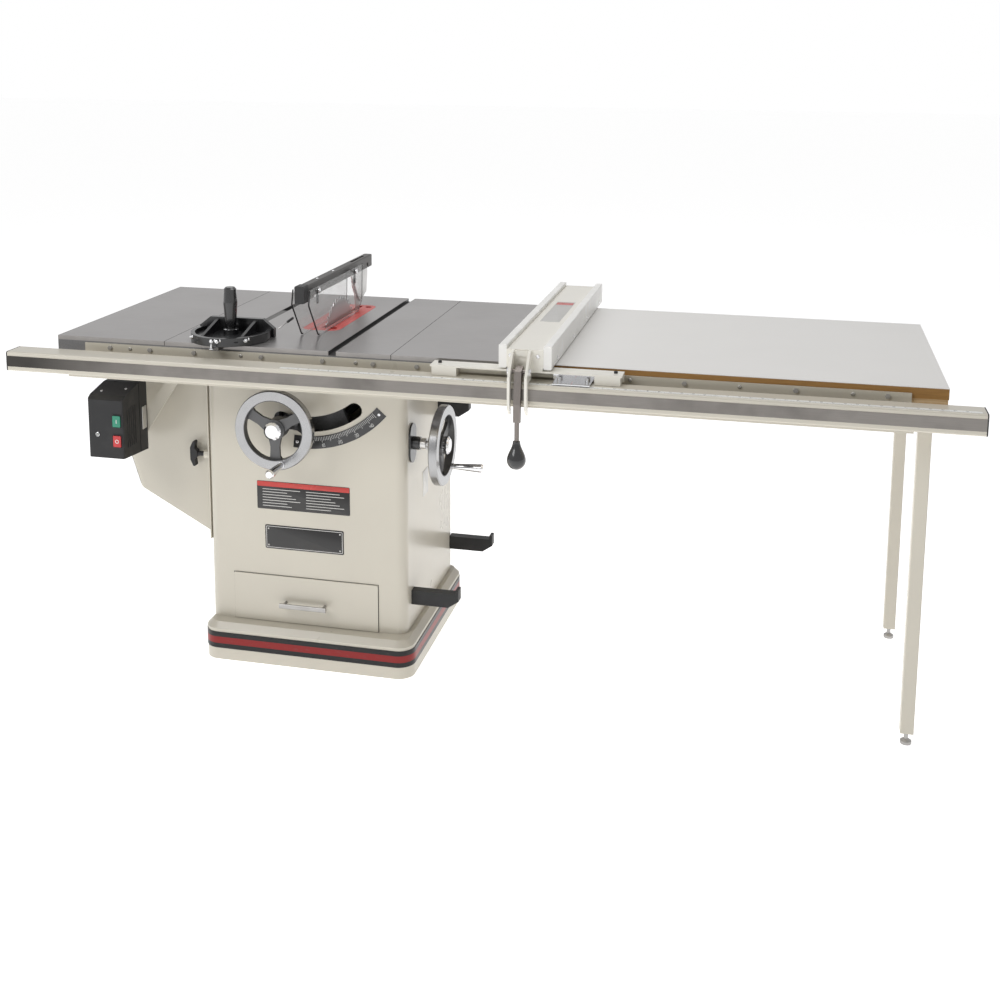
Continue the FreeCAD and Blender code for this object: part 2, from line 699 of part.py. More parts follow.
def make_rails():
    thick = S["angle_thick"]
    shelf = RAIL_Z[0] - thick
    end = BOARD[1] - 80
    front = plate_x("front_angle", (79, end), [
        (0, shelf), (0, TOP - 14), (-thick, TOP - 14), (-thick, shelf + thick),
        (RAIL_Y[0] + 6, shelf + thick), (RAIL_Y[0] + 6, shelf)])
    depth = S["table_depth"]
    back = plate_x("back_angle", (79, end), [
        (depth, shelf), (depth, TOP - 14), (depth + thick, TOP - 14),
        (depth + thick, shelf + thick),
        (depth + 50, shelf + thick), (depth + 50, shelf)])
    finish("rail_angles", group("rail_angle_pair", [front, back]))

    inner_x = (RAIL_X[0] + END_CAP, RAIL_X[1] - END_CAP)
    wall = S["rail_wall"]
    tube = rounded_box("rail_outside", inner_x, RAIL_Y, RAIL_Z, 5, "X")
    inside = box("rail_inside", (inner_x[0] - 5, inner_x[1] + 5),
                 (RAIL_Y[0] + wall, RAIL_Y[1] - wall), (RAIL_Z[0] + wall, RAIL_Z[1] - wall))
    finish("front_rail", cut("front_rail_solid", tube, [inside]))
    finish("rail_wear_strip", rounded_box(
        "wear_strip", inner_x, (RAIL_Y[0] - 1, RAIL_Y[0]),
        (RAIL_Z[0] + 12, RAIL_Z[1] - 11), 0.3, "X"))
    caps = []
    for name, face, plug in (("left", RAIL_X[0], RAIL_X[0] + END_CAP),
                             ("right", RAIL_X[1] - END_CAP, RAIL_X[1] - END_CAP - 14)):
        lid = rounded_box(f"{name}_cap_lid", (face, face + END_CAP), RAIL_Y, RAIL_Z, 5, "X")
        stop = box(f"{name}_cap_plug", (plug, plug + 14), (RAIL_Y[0] + 3.6, RAIL_Y[1] - 3.6),
                   (RAIL_Z[0] + 3.6, RAIL_Z[1] - 3.6))
        caps.append(join(f"{name}_cap", [lid, stop]))
    finish("rail_end_caps", group("rail_cap_pair", caps))


def make_bolts():
    """Hexagon heads that hold the rail angles to the castings and the board."""
    heads = []
    for x in (150, 260, 380, 560, 720, 850, 960, 1130, 1350, 1600, 1850, 2050):
        for index, (y, turn) in enumerate(((-S["angle_thick"], Rotation(Vector(1, 0, 0), 90)),
                                           (S["table_depth"] + S["angle_thick"],
                                            Rotation(Vector(1, 0, 0), -90)))):
            head = doc.addObject("Part::Prism", f"bolt_{x}_{index}")
            head.Polygon = 6
            bind(head, "Circumradius", 6)
            bind(head, "Height", 4.5)
            heads.append(put(head, x, y, TOP - 24, turn))
    finish("table_bolts", group("bolt_heads", heads))


# ---------------------------------------------------------------- switch

SWITCH_X = (107, 204)
SWITCH_Y = (-55, 75)
SWITCH_Z = (571, 748)
SWITCH_LOW_BACK = 560
KEY_LOWS = (("start_button", 654), ("stop_button", 602))


def make_switch():
    """Switch box with a sloping lid, its two push buttons and the strap that carries it."""
    x, y, z = SWITCH_X, SWITCH_Y, SWITCH_Z
    block = plate_x("switch_block", x, [
        (y[0], z[0]), (y[1], SWITCH_LOW_BACK), (y[1], z[1]), (y[1] - 45, z[1]),
        (y[0] + 15, z[1] - 16), (y[0], z[1] - 26)])
    shell = rounded("switch_round", block, 5, along("Z"))
    seam = cut("switch_seam", box("seam_outer", (x[0] - 5, x[1] + 5), (30, 32.5),
                                  (SWITCH_LOW_BACK - 5, z[1] + 5)),
               [box("seam_core", (x[0] + 2, x[1] - 2), (20, 40), (z[0] - 5, z[1] - 2))])
    wells = [box(f"{name}_well", (176, 198), (y[0] - 5, y[0] + 16), (low, low + 30))
             for name, low in KEY_LOWS]
    gland = rod("switch_gland", "Z", (150, 52, SWITCH_LOW_BACK - 18), 10, 22)
    nut = rod("switch_gland_nut", "Z", (150, 52, SWITCH_LOW_BACK - 8), 13, 12)
    bore = rod("switch_gland_bore", "Z", (150, 52, SWITCH_LOW_BACK - 23), 5, 20)
    body = cut("switch_cut", shell, [seam, *wells])
    finish("switch_box", cut("switch_solid", join("switch_whole", [body, gland, nut]), [bore]))

    for name, low in KEY_LOWS:
        key = rounded_box(f"{name}_key", (176.5, 197.5), (y[0] - 3, y[0] + 10),
                          (low + 0.5, low + 29.5), 2, "Y")
        finish(name, key)

    shelf = RAIL_Z[0] - S["angle_thick"]
    strap = plate_y("bracket_strap", (y[1], y[1] + 3), [
        (125, 600), (198, 600), (321, shelf), (289, shelf), (196, 655), (196, 700), (125, 700)])
    arm = box("bracket_arm", (289, 321), (-22, y[1] + 3), (shelf - 4, shelf))
    finish("switch_bracket", join("switch_bracket_solid", [strap, arm]))


# ---------------------------------------------------------------- handwheels

def make_wheel(name, rim_radius):
    """A three-spoked wheel about Z, with its flat face at Z = 0 and the hub behind it."""
    body = new_body(f"{name}_wheel")
    rim = sketch_on(body, "XZ_Plane", 0, f"{name}_rim_section")
    add_outline(rim, [(rim_radius - 26, 0), (rim_radius - 2, 0), (rim_radius, -3),
                      (rim_radius, -20), (rim_radius - 4, -23), (rim_radius - 22, -23),
                      (rim_radius - 26, -19)])
    turned = body.newObject("PartDesign::Revolution", f"{name}_rim")
    turned.Profile = rim
    turned.ReferenceAxis = (rim, ["V_Axis"])
    turned.Angle = 360
    doc.recompute()
    hub = sketch_on(body, "XY_Plane", -44, f"{name}_hub_outline")
    add_circle(hub, 0, 0, 27)
    pad(body, hub, 36, f"{name}_hub")
    spoke = sketch_on(body, "XY_Plane", -20, f"{name}_spoke_outline")
    add_outline(spoke, [(-18, -14), (18, -14), (12, -44), (13, 34 - rim_radius),
                        (21, 22 - rim_radius), (-21, 22 - rim_radius), (-13, 34 - rim_radius),
                        (-12, -44)])
    arm = pad(body, spoke, 9, f"{name}_spoke")
    doc.recompute()
    pattern = body.newObject("PartDesign::PolarPattern", f"{name}_spokes")
    pattern.Originals = [arm]
    pattern.Axis = (hub, ["N_Axis"])
    pattern.Angle = 360
    pattern.Occurrences = 3
    body.Tip = pattern
    doc.recompute()
    bore = sketch_on(body, "XY_Plane", -45, f"{name}_bore_outline")
    add_circle(bore, 0, 0, S["shaft_radius"])
    pocket(body, bore, 50, f"{name}_bore", along_normal=True)
    crank_bore = sketch_on(body, "XY_Plane", -24, f"{name}_crank_outline")
    add_circle(crank_bore, *crank_offset(name), 4.2)
    pocket(body, crank_bore, 30, f"{name}_crank_bore", along_normal=True)
    return body


CRANK_REACH = 88.0
CRANK_TURNS = {"front": -75.0, "side": -55.0}


def crank_offset(name):
    """Where a wheel's crank handle stands on its rim."""
    turn = math.radians(CRANK_TURNS[name])
    return CRANK_REACH * math.cos(turn), CRANK_REACH * math.sin(turn)


def place_turned(name, part, origin, turn):
    """Finish a sub-part that was drawn about Z and turned onto its own axis."""
    part.Label = name
    put(part, origin[0] - FRAME_X, origin[1] - FRAME_Y, origin[2], turn)
    finished.append(part)


def make_handwheel(name, origin, turn):
    """A wheel, its turning crank handle and the lock knob at its hub, all drawn about Z."""
    place_turned(f"{name}_wheel", make_wheel(name, S["wheel_radius"]), origin, turn)
    x, y = crank_offset(name)
    stub = rod(f"{name}_crank_stub", "Z", (x, y, -22), 4, 30)
    root = rod(f"{name}_crank_root", "Z", (x, y, 0.4), 8, 5)
    grip = taper(f"{name}_crank_grip", "Z", (x, y, 5.4), 7, 11.5, 74)
    tip = taper(f"{name}_crank_tip", "Z", (x, y, 79.4), 11.5, 8.5, 5)
    place_turned(f"{name}_crank", join(f"{name}_crank_solid", [stub, root, grip, tip]),
                 origin, turn)
    disc = rod(f"{name}_lock_disc", "Z", (0, 0, -7.6), 23, 11)
    dome = taper(f"{name}_lock_dome", "Z", (0, 0, 3.4), 23, 17, 5)
    flutes = [rod(f"{name}_lock_flute", "Z", (25.2 * math.cos(angle), 25.2 * math.sin(angle), -9),
                  3.2, 20)
              for angle in (math.pi * 2 * step / 12 for step in range(12))]
    place_turned(f"{name}_lock_knob", cut(f"{name}_lock_solid",
                                          join(f"{name}_lock_whole", [disc, dome]), flutes),
                 origin, turn)


FRONT_TURN = Rotation(Vector(1, 0, 0), 90)
SIDE_TURN = Rotation(Vector(0, 1, 0), Vector(0, 0, 1), Vector(1, 0, 0), "XYZ")


def make_handwheels():
    """The front wheel raises the blade, the side wheel tilts it."""
    make_handwheel("front", (S["shaft_across"], S["wheel_face"], S["shaft_high"]), FRONT_TURN)
    make_handwheel("side", (S["side_wheel_face"], S["side_shaft_back"], S["side_shaft_high"]),
                   SIDE_TURN)


def worm(name, axis, centre, radius, length):
    """A worm: a barrel with ring grooves where the gear's teeth run."""
    x, y, z = centre
    start = (x - length / 2, y, z) if axis == "X" else (x, y - length / 2, z)
    barrel = rod(f"{name}_barrel", axis, start, radius, length)
    grooves = []
    for step in range(1, int(length / 9.42)):
        offset = step * 9.42 - 2.2
        place = (start[0] + offset, y, z) if axis == "X" else (x, start[1] + offset, z)
        ring = rod(f"{name}_ring", axis, place, radius + 1, 4.4)
        core = rod(f"{name}_core", axis, place, radius - 3.5, 4.4)
        grooves.append(cut(f"{name}_groove", ring, [core]))
    return cut(name, barrel, grooves)


def make_shafts():
    hub_front = S["wheel_face"] + 8
    shaft = rod("raise_rod", "Y", (S["shaft_across"], hub_front, S["shaft_high"]),
                S["shaft_radius"], 552 - hub_front)
    barrel = worm("raise_worm", "Y", (S["shaft_across"], S["pivot_back"], S["shaft_high"]),
                  12.5, 56)
    finish("raise_shaft", join("raise_shaft_solid", [shaft, barrel]))
    start = 578
    side = rod("tilt_rod", "X", (start, S["side_shaft_back"], S["side_shaft_high"]),
               S["shaft_radius"], S["side_wheel_face"] - 8 - start)
    barrel = worm("tilt_worm", "X",
                  (S["blade_centre"], S["side_shaft_back"], S["side_shaft_high"]), 13.5, 66)
    collar = rod("tilt_collar", "X", (CABINET_X[1] + 26, S["side_shaft_back"],
                                      S["side_shaft_high"]), 14, 14)
    finish("tilt_shaft", join("tilt_shaft_solid", [side, barrel, collar]))


# ---------------------------------------------------------------- tilt cradle and trunnions

ARC_INNER = 150.0
ARC_OUTER = 164.0
RIB = (-14, 14)


def toothed_sector(name, y, angles):
    """The front trunnion's gear: a ring segment with a tooth gap every 1/170 of a turn."""
    plate = sector(f"{name}_blank", 118, S["sector_radius"], angles, y)
    step = 360 / 170
    gaps = []
    count = int((angles[1] - angles[0]) / step)
    for index in range(1, count):
        angle = angles[0] + step * (index + 0.5)
        if -52 < angle < 8:
            x, z = on_arc(S["sector_radius"], angle)
            gaps.append(rod(f"{name}_gap", "Y", (x, as_size(y[0]) - 1, z), 2.3,
                            as_size(y[1]) - y[0] + 2))
    return cut(name, plate, gaps)


def make_trunnions():
    """Fixed castings under the table, the front one with the tilt shaft's two ears."""
    table_under = TOP - S["table_plate"]
    mid = S["blade_centre"]
    castings = []
    for name, y, rib in (("front", (118, 140), (140, 148)), ("back", (566, 573), (558, 566))):
        web = cut(f"{name}_web", plate_y(f"{name}_web_plate", y, [
            (mid - 110, table_under), (mid - 48, SKIRT - 140), (mid + 48, SKIRT - 140),
            (mid + 70, table_under)]),
            [box(f"{name}_web_arch", (mid - 34, mid + 34), (y[0] - 1, y[1] + 1),
                 (TOP - 100, TOP))])
        arc = sector(f"{name}_arc", ARC_INNER, ARC_OUTER, RIB, (rib[0], rib[1]))
        parts = [web, arc]
        if name == "front":
            for x in (mid - 51, mid + 39):
                parts.append(box("worm_ear", (x, x + 12), (140, 186),
                                 (S["side_shaft_high"] - 20, S["side_shaft_high"] + 12)))
            parts.append(box("worm_ear_bar", (mid - 51, mid + 51), (126, 146),
                             (S["side_shaft_high"] - 20, S["side_shaft_high"] + 12)))
            parts.append(plate_y("worm_ear_strut", (118, 140), [
                (mid - 108, table_under), (mid - 108, 590), (mid - 98, 580), (mid - 50, 580),
                (mid - 50, 612), (mid - 76, 612), (mid - 76, 700), (mid - 46, 735),
                (mid - 46, table_under)]))
            whole = join("front_trunnion_whole", parts)
            bore = rod("worm_ear_bore", "X", (mid - 60, S["side_shaft_back"],
                                              S["side_shaft_high"]),
                       S["shaft_radius"] + 0.06, 120)
            room = rod("worm_room", "X", (mid - 39, S["side_shaft_back"],
                                          S["side_shaft_high"]), 16, 78)
            castings.append(cut("front_trunnion", whole, [bore, room]))
        else:
            castings.append(join("back_trunnion", parts))
    finish("trunnion_brackets", group("trunnion_pair", castings))


def make_cradle():
    """The tilting cradle: two trunnion plates, tie bars and the fork for the arbor bracket."""
    front_y = (S["sector_back"], S["sector_back"] + S["sector_thick"])
    gear = toothed_sector("cradle_gear", front_y, (-66, 24))
    back_y = (541, 556)
    back = sector("cradle_back", 118, 245, (-40, 34), back_y)
    shaft_holes = [
        rod(f"cradle_shaft_hole_{index}", "Y", (S["shaft_across"], y, S["shaft_high"]),
            S["shaft_radius"] + 0.06, length)
        for index, (y, length) in enumerate(((60, 120), (530, 40)))
    ]
    window = box("cradle_window", (563, 593), (back_y[0] - 1, back_y[1] + 1), (668, 775))
    nose = rod("cradle_nose", "Y", (S["shaft_across"], 66, S["shaft_high"]), 15, 90)
    groove_front = sector("cradle_groove_front", ARC_INNER - 0.4, ARC_OUTER + 0.4,
                          (-61, 15.5), (130, front_y[0] + 6))
    groove_back = sector("cradle_groove_back", ARC_INNER - 0.4, ARC_OUTER + 0.4,
                         (-61, 15.5), (back_y[1] - 6, 580))
    keys = []
    for index, (y, angle_pair) in enumerate((((143, 155), (-64, 20)), ((556, 564), (-40, 30)))):
        keys.append(sector(f"cradle_shoe_{index}", ARC_OUTER + 0.4, ARC_OUTER + 14,
                           angle_pair, y))
    bars = []
    for index, (radius, angle) in enumerate(((176, 21), (232, 19))):
        x, z = on_arc(radius, angle)
        bars.append(rod(f"cradle_bar_{index}", "Y", (x, 160, z), 10, 390))
    fork = []
    for name, x in (("left", 541), ("right", 601)):
        fork.append(plate_x(f"fork_{name}", (x, x + 12), [
            (480, 742), (520, 742), (545, 700), (545, 790), (508, 790), (480, 776)]))
    pin = rod("fork_pin", "X", (543, S["pivot_back"], S["pivot_high"]), 9, 68)
    stay = box("splitter_stay", (S["blade_centre"] + 1.3, S["blade_centre"] + 13), (516, 545),
               (690, 756))
    whole = join("cradle_whole", [gear, back, nose, *keys, *bars, *fork, pin, stay])
    finish("trunnion_cradle", cut("cradle_solid", whole,
                                  [*shaft_holes, window, groove_front, groove_back]))


def make_arbor_bracket():
    """Swinging bracket: pivot barrel, arm, arbor bearing housing, worm sector and motor plate."""
    arbor = (S["arbor_back"], S["arbor_high"])
    pivot = (S["pivot_back"], S["pivot_high"])
    motor = (S["motor_back"], S["motor_high"])
    barrel = rod("bracket_barrel", "X", (553.4, *pivot), 17, 47.2)
    housing = rod("bracket_housing", "X", (558, *arbor), 28, 54)
    arm = plate_x("bracket_arm", (566, 596), [
        (arbor[0], arbor[1] - 22), (arbor[0] + 4, arbor[1] + 20), (pivot[0], pivot[1] + 14),
        (pivot[0] + 2, pivot[1] - 14)])
    gear_disc = rod("bracket_gear", "X", (570, *pivot), 95, 16)
    keep = plate_x("bracket_gear_keep", (568, 590), [
        (pivot[0] - 4, pivot[1]), (pivot[0] - 66, pivot[1] - 108),
        (pivot[0] + 21, pivot[1] - 120), (pivot[0] + 4, pivot[1])])
    gear = doc.addObject("Part::Common", "bracket_sector")
    gear.Base = gear_disc
    gear.Tool = keep
    step = 360 / 63
    gaps = []
    for index in range(-5, 2):
        angle = math.radians(step * index)
        y = pivot[0] + 95 * math.sin(angle)
        z = pivot[1] - 95 * math.cos(angle)
        gaps.append(rod("bracket_gap", "X", (568, y, z), 2.4, 22))
    toothed = cut("bracket_toothed", gear, gaps)
    plate = plate_x("bracket_motor_plate", (508, 517), [
        (motor[0] - 62, motor[1] - 50), (motor[0] + 62, motor[1] - 50),
        (motor[0] + 66, motor[1] + 60), (arbor[0] + 60, arbor[1] - 40),
        (arbor[0] + 44, arbor[1] - 30), (motor[0] - 50, motor[1] + 70)])
    neck = box("bracket_neck", (508, 572), (arbor[0] + 46, arbor[0] + 66),
               (arbor[1] - 62, arbor[1] - 26))
    whole = join("bracket_whole", [barrel, housing, arm, toothed, plate, neck])
    holes = [
        rod("bracket_pivot_bore", "X", (540, *pivot), 9.06, 80),
        rod("bracket_arbor_bore", "X", (550, *arbor), S["arbor_radius"] + 4.06, 80),
        rod("bracket_motor_bore", "X", (500, *motor), 22, 30),
    ]
    finish("arbor_bracket", cut("arbor_bracket_solid", whole, holes))


def make_motor():
    centre = (S["motor_back"], S["motor_high"])
    left = S["motor_left"]
    length = S["motor_length"]
    radius = S["motor_radius"]
    can = rod("motor_can", "X", (left + 26, *centre), radius - 3, length - 42)
    bell = rod("motor_bell", "X", (left + length - 18, *centre), radius, 18)
    fan = taper("motor_fan", "X", (left, *centre), radius - 12, radius - 3, 30)
    fins = []
    for step in range(24):
        angle = math.radians(step * 15)
        y = centre[0] + (radius - 4) * math.cos(angle)
        z = centre[1] + (radius - 4) * math.sin(angle)
        fins.append(rod("motor_fin", "X", (left + 32, y, z), 3, length - 52))
    box_low = centre[1] + radius - 22
    terminal = rounded_box("motor_terminal", (left + 80, left + 170),
                           (centre[0] - 42, centre[0] + 42), (box_low, box_low + 42), 5)
    bore = rod("motor_bore", "X", (left + 180, *centre), 12.06, 120)
    finish("motor", cut("motor_solid", join("motor_whole", [can, bell, fan, *fins, terminal]),
                        [bore]))
    shaft = rod("motor_shaft", "X", (left + 182, *centre), 12, 560 - 182 - left)
    pulley = rod("motor_pulley_disc", "X", (524, *centre), 31, 32)
    hub = rod("motor_pulley_hub", "X", (519, *centre), 18, 6)
    finish("motor_pulley", join("motor_pulley_solid", [shaft, pulley, hub]))


def make_arbor():
    arbor = (S["arbor_back"], S["arbor_high"])
    blade = S["blade_centre"]
    thin = S["blade_plate"] / 2
    journal = rod("arbor_journal", "X", (557, *arbor), S["arbor_radius"] + 4, 56)
    shaft = rod("arbor_shaft", "X", (523, *arbor), S["arbor_radius"], blade + 24 - 523)
    collar = rod("arbor_collar", "X", (613, *arbor), 22, blade - thin - 613)
    pulley = rod("arbor_pulley", "X", (524, *arbor), 27, 32)
    finish("arbor", join("arbor_solid", [journal, shaft, collar, pulley]))

    outside = blade + thin
    washer = rod("arbor_washer", "X", (outside, *arbor), 22, 6)
    nut = doc.addObject("Part::Prism", "arbor_hex")
    nut.Polygon = 6
    bind(nut, "Circumradius", 13.5)
    bind(nut, "Height", 13)
    put(nut, outside + 6, *arbor, AXIS_TURN["X"])
    bore = rod("arbor_nut_bore", "X", (outside - 1, *arbor), S["arbor_radius"], 30)
    finish("arbor_nut", cut("arbor_nut_solid", join("arbor_nut_whole", [washer, nut]), [bore]))


def make_blade():
    """A 40-tooth blade: a disc with 40 gullets, each tooth a straight-faced point."""
    body = new_body("blade_body")
    half = S["blade_plate"] / 2
    disc = sketch_on(body, "YZ_Plane", S["blade_centre"] - half, "blade_outline")
    add_circle(disc, 0, 0, S["blade_radius"])
    add_circle(disc, 0, 0, S["arbor_radius"])
    pad(body, disc, S["blade_plate"], "blade_disc")
    notch = sketch_on(body, "YZ_Plane", S["blade_centre"] + 3, "gullet_outline")
    edge = S["blade_radius"]
    add_outline(notch, [(0, edge - 11), (4.5, edge - 9), (13.5, edge - 2), (13.5, edge + 3),
                        (-3, edge + 3)])
    gullet = pocket(body, notch, 6, "gullet")
    pattern = body.newObject("PartDesign::PolarPattern", "gullets")
    pattern.Originals = [gullet]
    pattern.Axis = (disc, ["N_Axis"])
    pattern.Angle = 360
    pattern.Occurrences = 40
    body.Tip = pattern
    body.Label = "blade"
    put(body, -FRAME_X, S["arbor_back"] - FRAME_Y, S["arbor_high"])
    finished.append(body)


def belt_loop(centres, radii, x, wide, thick):
    """One endless belt about two pulleys: two arcs joined by their common tangents."""
    (y1, z1), (y2, z2) = centres
    reach = math.hypot(y2 - y1, z2 - z1)
    heading = math.atan2(z2 - z1, y2 - y1)

    def loop(extra):
        first, second = radii[0] + extra, radii[1] + extra
        lean = math.acos((first - second) / reach)
        points = []
        for side in (1, -1):
            angle = heading + side * lean
            points.append((
                Vector(x, y1 + first * math.cos(angle), z1 + first * math.sin(angle)),
                Vector(x, y2 + second * math.cos(angle), z2 + second * math.sin(angle))))
        near = Vector(x, y1 - first * math.cos(heading), z1 - first * math.sin(heading))
        far = Vector(x, y2 + second * math.cos(heading), z2 + second * math.sin(heading))
        edges = [
            Part.LineSegment(*points[0]).toShape(),
            Part.Arc(points[0][1], far, points[1][1]).toShape(),
            Part.LineSegment(points[1][1], points[1][0]).toShape(),
            Part.Arc(points[1][0], near, points[0][0]).toShape(),
        ]
        return Part.Face(Part.Wire(edges))

    ring = loop(thick).cut(loop(0))
    return ring.extrude(Vector(wide, 0, 0))


def make_belts():
    """Three V-belts from the motor pulley to the arbor pulley."""
    centres = ((S["arbor_back"].value, S["arbor_high"].value),
               (S["motor_back"].value, S["motor_high"].value))
    loops = [belt_loop(centres, (27.3, 31.3), x, 8, 4.2) for x in (525.5, 536, 546.5)]
    part = doc.addObject("Part::Feature", "belt_loops")
    part.Shape = Part.makeCompound(loops)
    finish("drive_belts", part)


# ---------------------------------------------------------------- splitter and guard

def make_guard():
    mid = S["blade_centre"]
    thin = 1.1
    finish("splitter", plate_x("splitter_plate", (mid - thin, mid + thin), [
        (520, 692), (540.5, 692), (540.5, 880), (606, 902), (616, 960), (606, 996), (560, 996),
        (474, 968), (486, 950), (505, 905), (512, 870)],
        [(590, 984, 5.1), (500, 950, 5.1)]))

    low, high = S["guard_low"], S["guard_high"]
    front, back = S["guard_front"], S["guard_back"]
    arm = rounded("arm_outside", box("arm_block", (mid - 12, mid + 12), (front, back),
                                     (low, high)), 3, along("Y"))
    channel = box("arm_channel", (mid - 9, mid + 9), (front + 12, back + 5), (low - 5, high - 3))
    slot = rounded_box("arm_slot", (mid - 4, mid + 4), (back - 150, back - 40),
                       (high - 10, high + 5), 3.9)
    beam = cut("arm_beam", arm, [channel, slot])
    block = rounded_box("arm_block_front", (mid - 12.5, mid + 12.5), (front - 6, front + 26),
                        (low - 8, high + 2), 3, "Y")
    pins = [rod(f"arm_pin_{index}", "X", (mid - 28, y, 990), 4, 56)
            for index, y in enumerate((150, 440))]
    pivot = rod("arm_pivot", "X", (mid - 14, 590, 984), 5, 28)
    finish("guard_arm", join("guard_arm_solid", [beam, block, *pins, pivot]))

    gap, thick = S["shield_gap"], S["shield_thick"]
    base = TOP + S["table_gap"]
    outline = [(96, 1000), (86, 965), (150, base), (470, base), (500, base + 26), (508, 1000)]
    for name, x in (("left_guard_shield", (mid - gap - thick, mid - gap)),
                    ("right_guard_shield", (mid + gap, mid + gap + thick))):
        sheet = rounded(f"{name}_sheet", plate_x(f"{name}_plate", x, outline), 12,
                        lambda edge: along("X")(edge) and edge.BoundBox.ZMin < 990)
        slots = []
        for index, y in enumerate((150, 440)):
            slots.append(box(f"{name}_slot_{index}", (x[0] - 1, x[1] + 1), (y - 4.3, y + 4.3),
                             (959.5, 990)))
            for end, z in enumerate((959.5, 990)):
                slots.append(rod(f"{name}_end_{index}_{end}", "X", (x[0] - 1, y, z), 4.3,
                                 thick + 2))
        finish(name, cut(f"{name}_solid", sheet, slots))

    dogs = []
    for name, x in (("left", (mid - 5.6, mid - 2.6)), ("right", (mid + 2.6, mid + 5.6))):
        dogs.append(plate_x(f"pawl_{name}", x, [
            (494, 958), (508, 958), (530, 930), (548, 892), (536, 886), (524, 898), (496, 936)]))
    hinge = rod("pawl_pin", "X", (mid - 6.6, 500, 950), 5, 13.2)
    finish("kickback_pawls", join("pawl_pair", [*dogs, hinge]))


# ---------------------------------------------------------------- rip fence

def make_fence():
    left = S["fence_left"]
    thick = S["face_thick"]
    tube_x = (left + thick, left + thick + S["fence_tube"])
    y = (S["fence_front"], S["fence_back"])
    z = FENCE_Z
    tube = rounded("tube_outside", box("tube_block", tube_x, (y[0] - 1, y[1] - 2),
                                       (z[0] + 2, z[1] - 9)), 4, along("Y"))
    hollow = box("tube_hollow", (tube_x[0] + 3, tube_x[1] - 3), (y[0] + 5, y[1] + 5),
                 (z[0] + 5, z[1] - 12))
    body = cut("tube_solid", tube, [hollow])

    mid = S["lever_centre"]
    bar = box("head_bar", (1008, 1463), (-26, -14), (RAIL_Z[1] + 2.5, TOP - 2))
    shelf = box("head_shelf", (1008, 1463), (-60, -14), (TOP - 6, TOP - 2))
    riser = box("head_riser", (tube_x[0] + 2, tube_x[1] - 2), (-60, -14), (TOP - 6, z[0] + 4))
    cheeks = []
    for name, x in (("left", mid - 23), ("right", mid + 17)):
        cheeks.append(plate_x(f"cheek_{name}", (x, x + 6), [
            (-61, z[1] - 10), (-61, RAIL_Z[1] + 5), (RAIL_Y[0] - 3, RAIL_Z[1] + 5),
            (RAIL_Y[0] - 3, RAIL_Z[0] - 22), (RAIL_Y[0] - 22, RAIL_Z[0] - 6),
            (RAIL_Y[0] - 22, RAIL_Z[1] + 20), (-75, z[1] - 14)]))
    top = box("cheek_top", (mid - 23, mid + 23), (-66, -60), (z[1] - 24, z[1] - 12))
    web = box("cheek_web", (mid - 23, mid + 23), (-66, -60), (RAIL_Z[1] + 5, RAIL_Z[1] + 24))
    pads = [box(f"head_pad_{index}", (x, x + 60), (-60, -27), (RAIL_Z[1] + 0.5, TOP - 6))
            for index, x in enumerate((1012, 1399))]
    glide = box("rear_glide", (tube_x[0] + 20, tube_x[1] - 20), (y[1] - 66, y[1] - 30),
                (TOP + 0.5, z[0] + 3))
    bores = [rod("lever_bore", "X", (mid - 30, -88, 872), 5.05, 60)]
    whole = join("fence_whole", [body, bar, shelf, riser, *cheeks, top, web, *pads, glide])
    finish("fence_body", cut("fence_solid", whole, bores))

    faces = []
    for name, x in (("left", (left, left + thick)), ("right", (tube_x[1], tube_x[1] + thick))):
        faces.append(rounded(f"{name}_face", box(f"{name}_face_block", x, y, z), 2.5,
                             along("Y")))
    finish("fence_faces", group("fence_face_pair", faces))

    lever_x = (mid - 8, mid + 8)
    blade = plate_x("lever_plate", lever_x, [
        (-80, 884), (-104, 876), (-108, 850), (-116, 800), (-116, 758), (-104, 756), (-101, 800),
        (-97, 846), (-78, 862)])
    pin = rod("lever_pin", "X", (mid - 22.6, -88, 872), 5, 45.2)
    rod_part = rod("lever_rod", "Z", (mid, S["lever_knob_out"] + 2, 700), 5.5, 62)
    finish("fence_lever", join("lever_solid", [blade, pin, rod_part]))

    radius = S["lever_knob_radius"]
    knob_ball = ball("knob_ball", (mid, S["lever_knob_out"], 672), radius)
    knob_cone = taper("knob_cone", "Z", (mid, S["lever_knob_out"], 676), radius - 0.4, 8.5, 38)
    knob_bore = rod("knob_bore", "Z", (mid, S["lever_knob_out"] + 2, 700), 5.5, 62)
    finish("lever_knob", cut("lever_knob_solid", join("knob_whole", [knob_ball, knob_cone]),
                             [knob_bore]))

    plate = box("cursor_plate", (1305, 1392), (RAIL_Y[0] + 8, -27),
                (RAIL_Z[1] + 2.5, RAIL_Z[1] + 4.5))
    frame = box("cursor_frame", (1300, 1396), (-39, -26.5), (RAIL_Z[1] + 2.5, TOP - 6.5))
    screws = [rod(f"cursor_screw_{index}", "Z", (x, -50, RAIL_Z[1] + 4), 4.5, 7)
              for index, x in enumerate((1316, 1381))]
    finish("fence_cursor", join("cursor_solid", [plate, frame, *screws]))


# ---------------------------------------------------------------- miter gauge

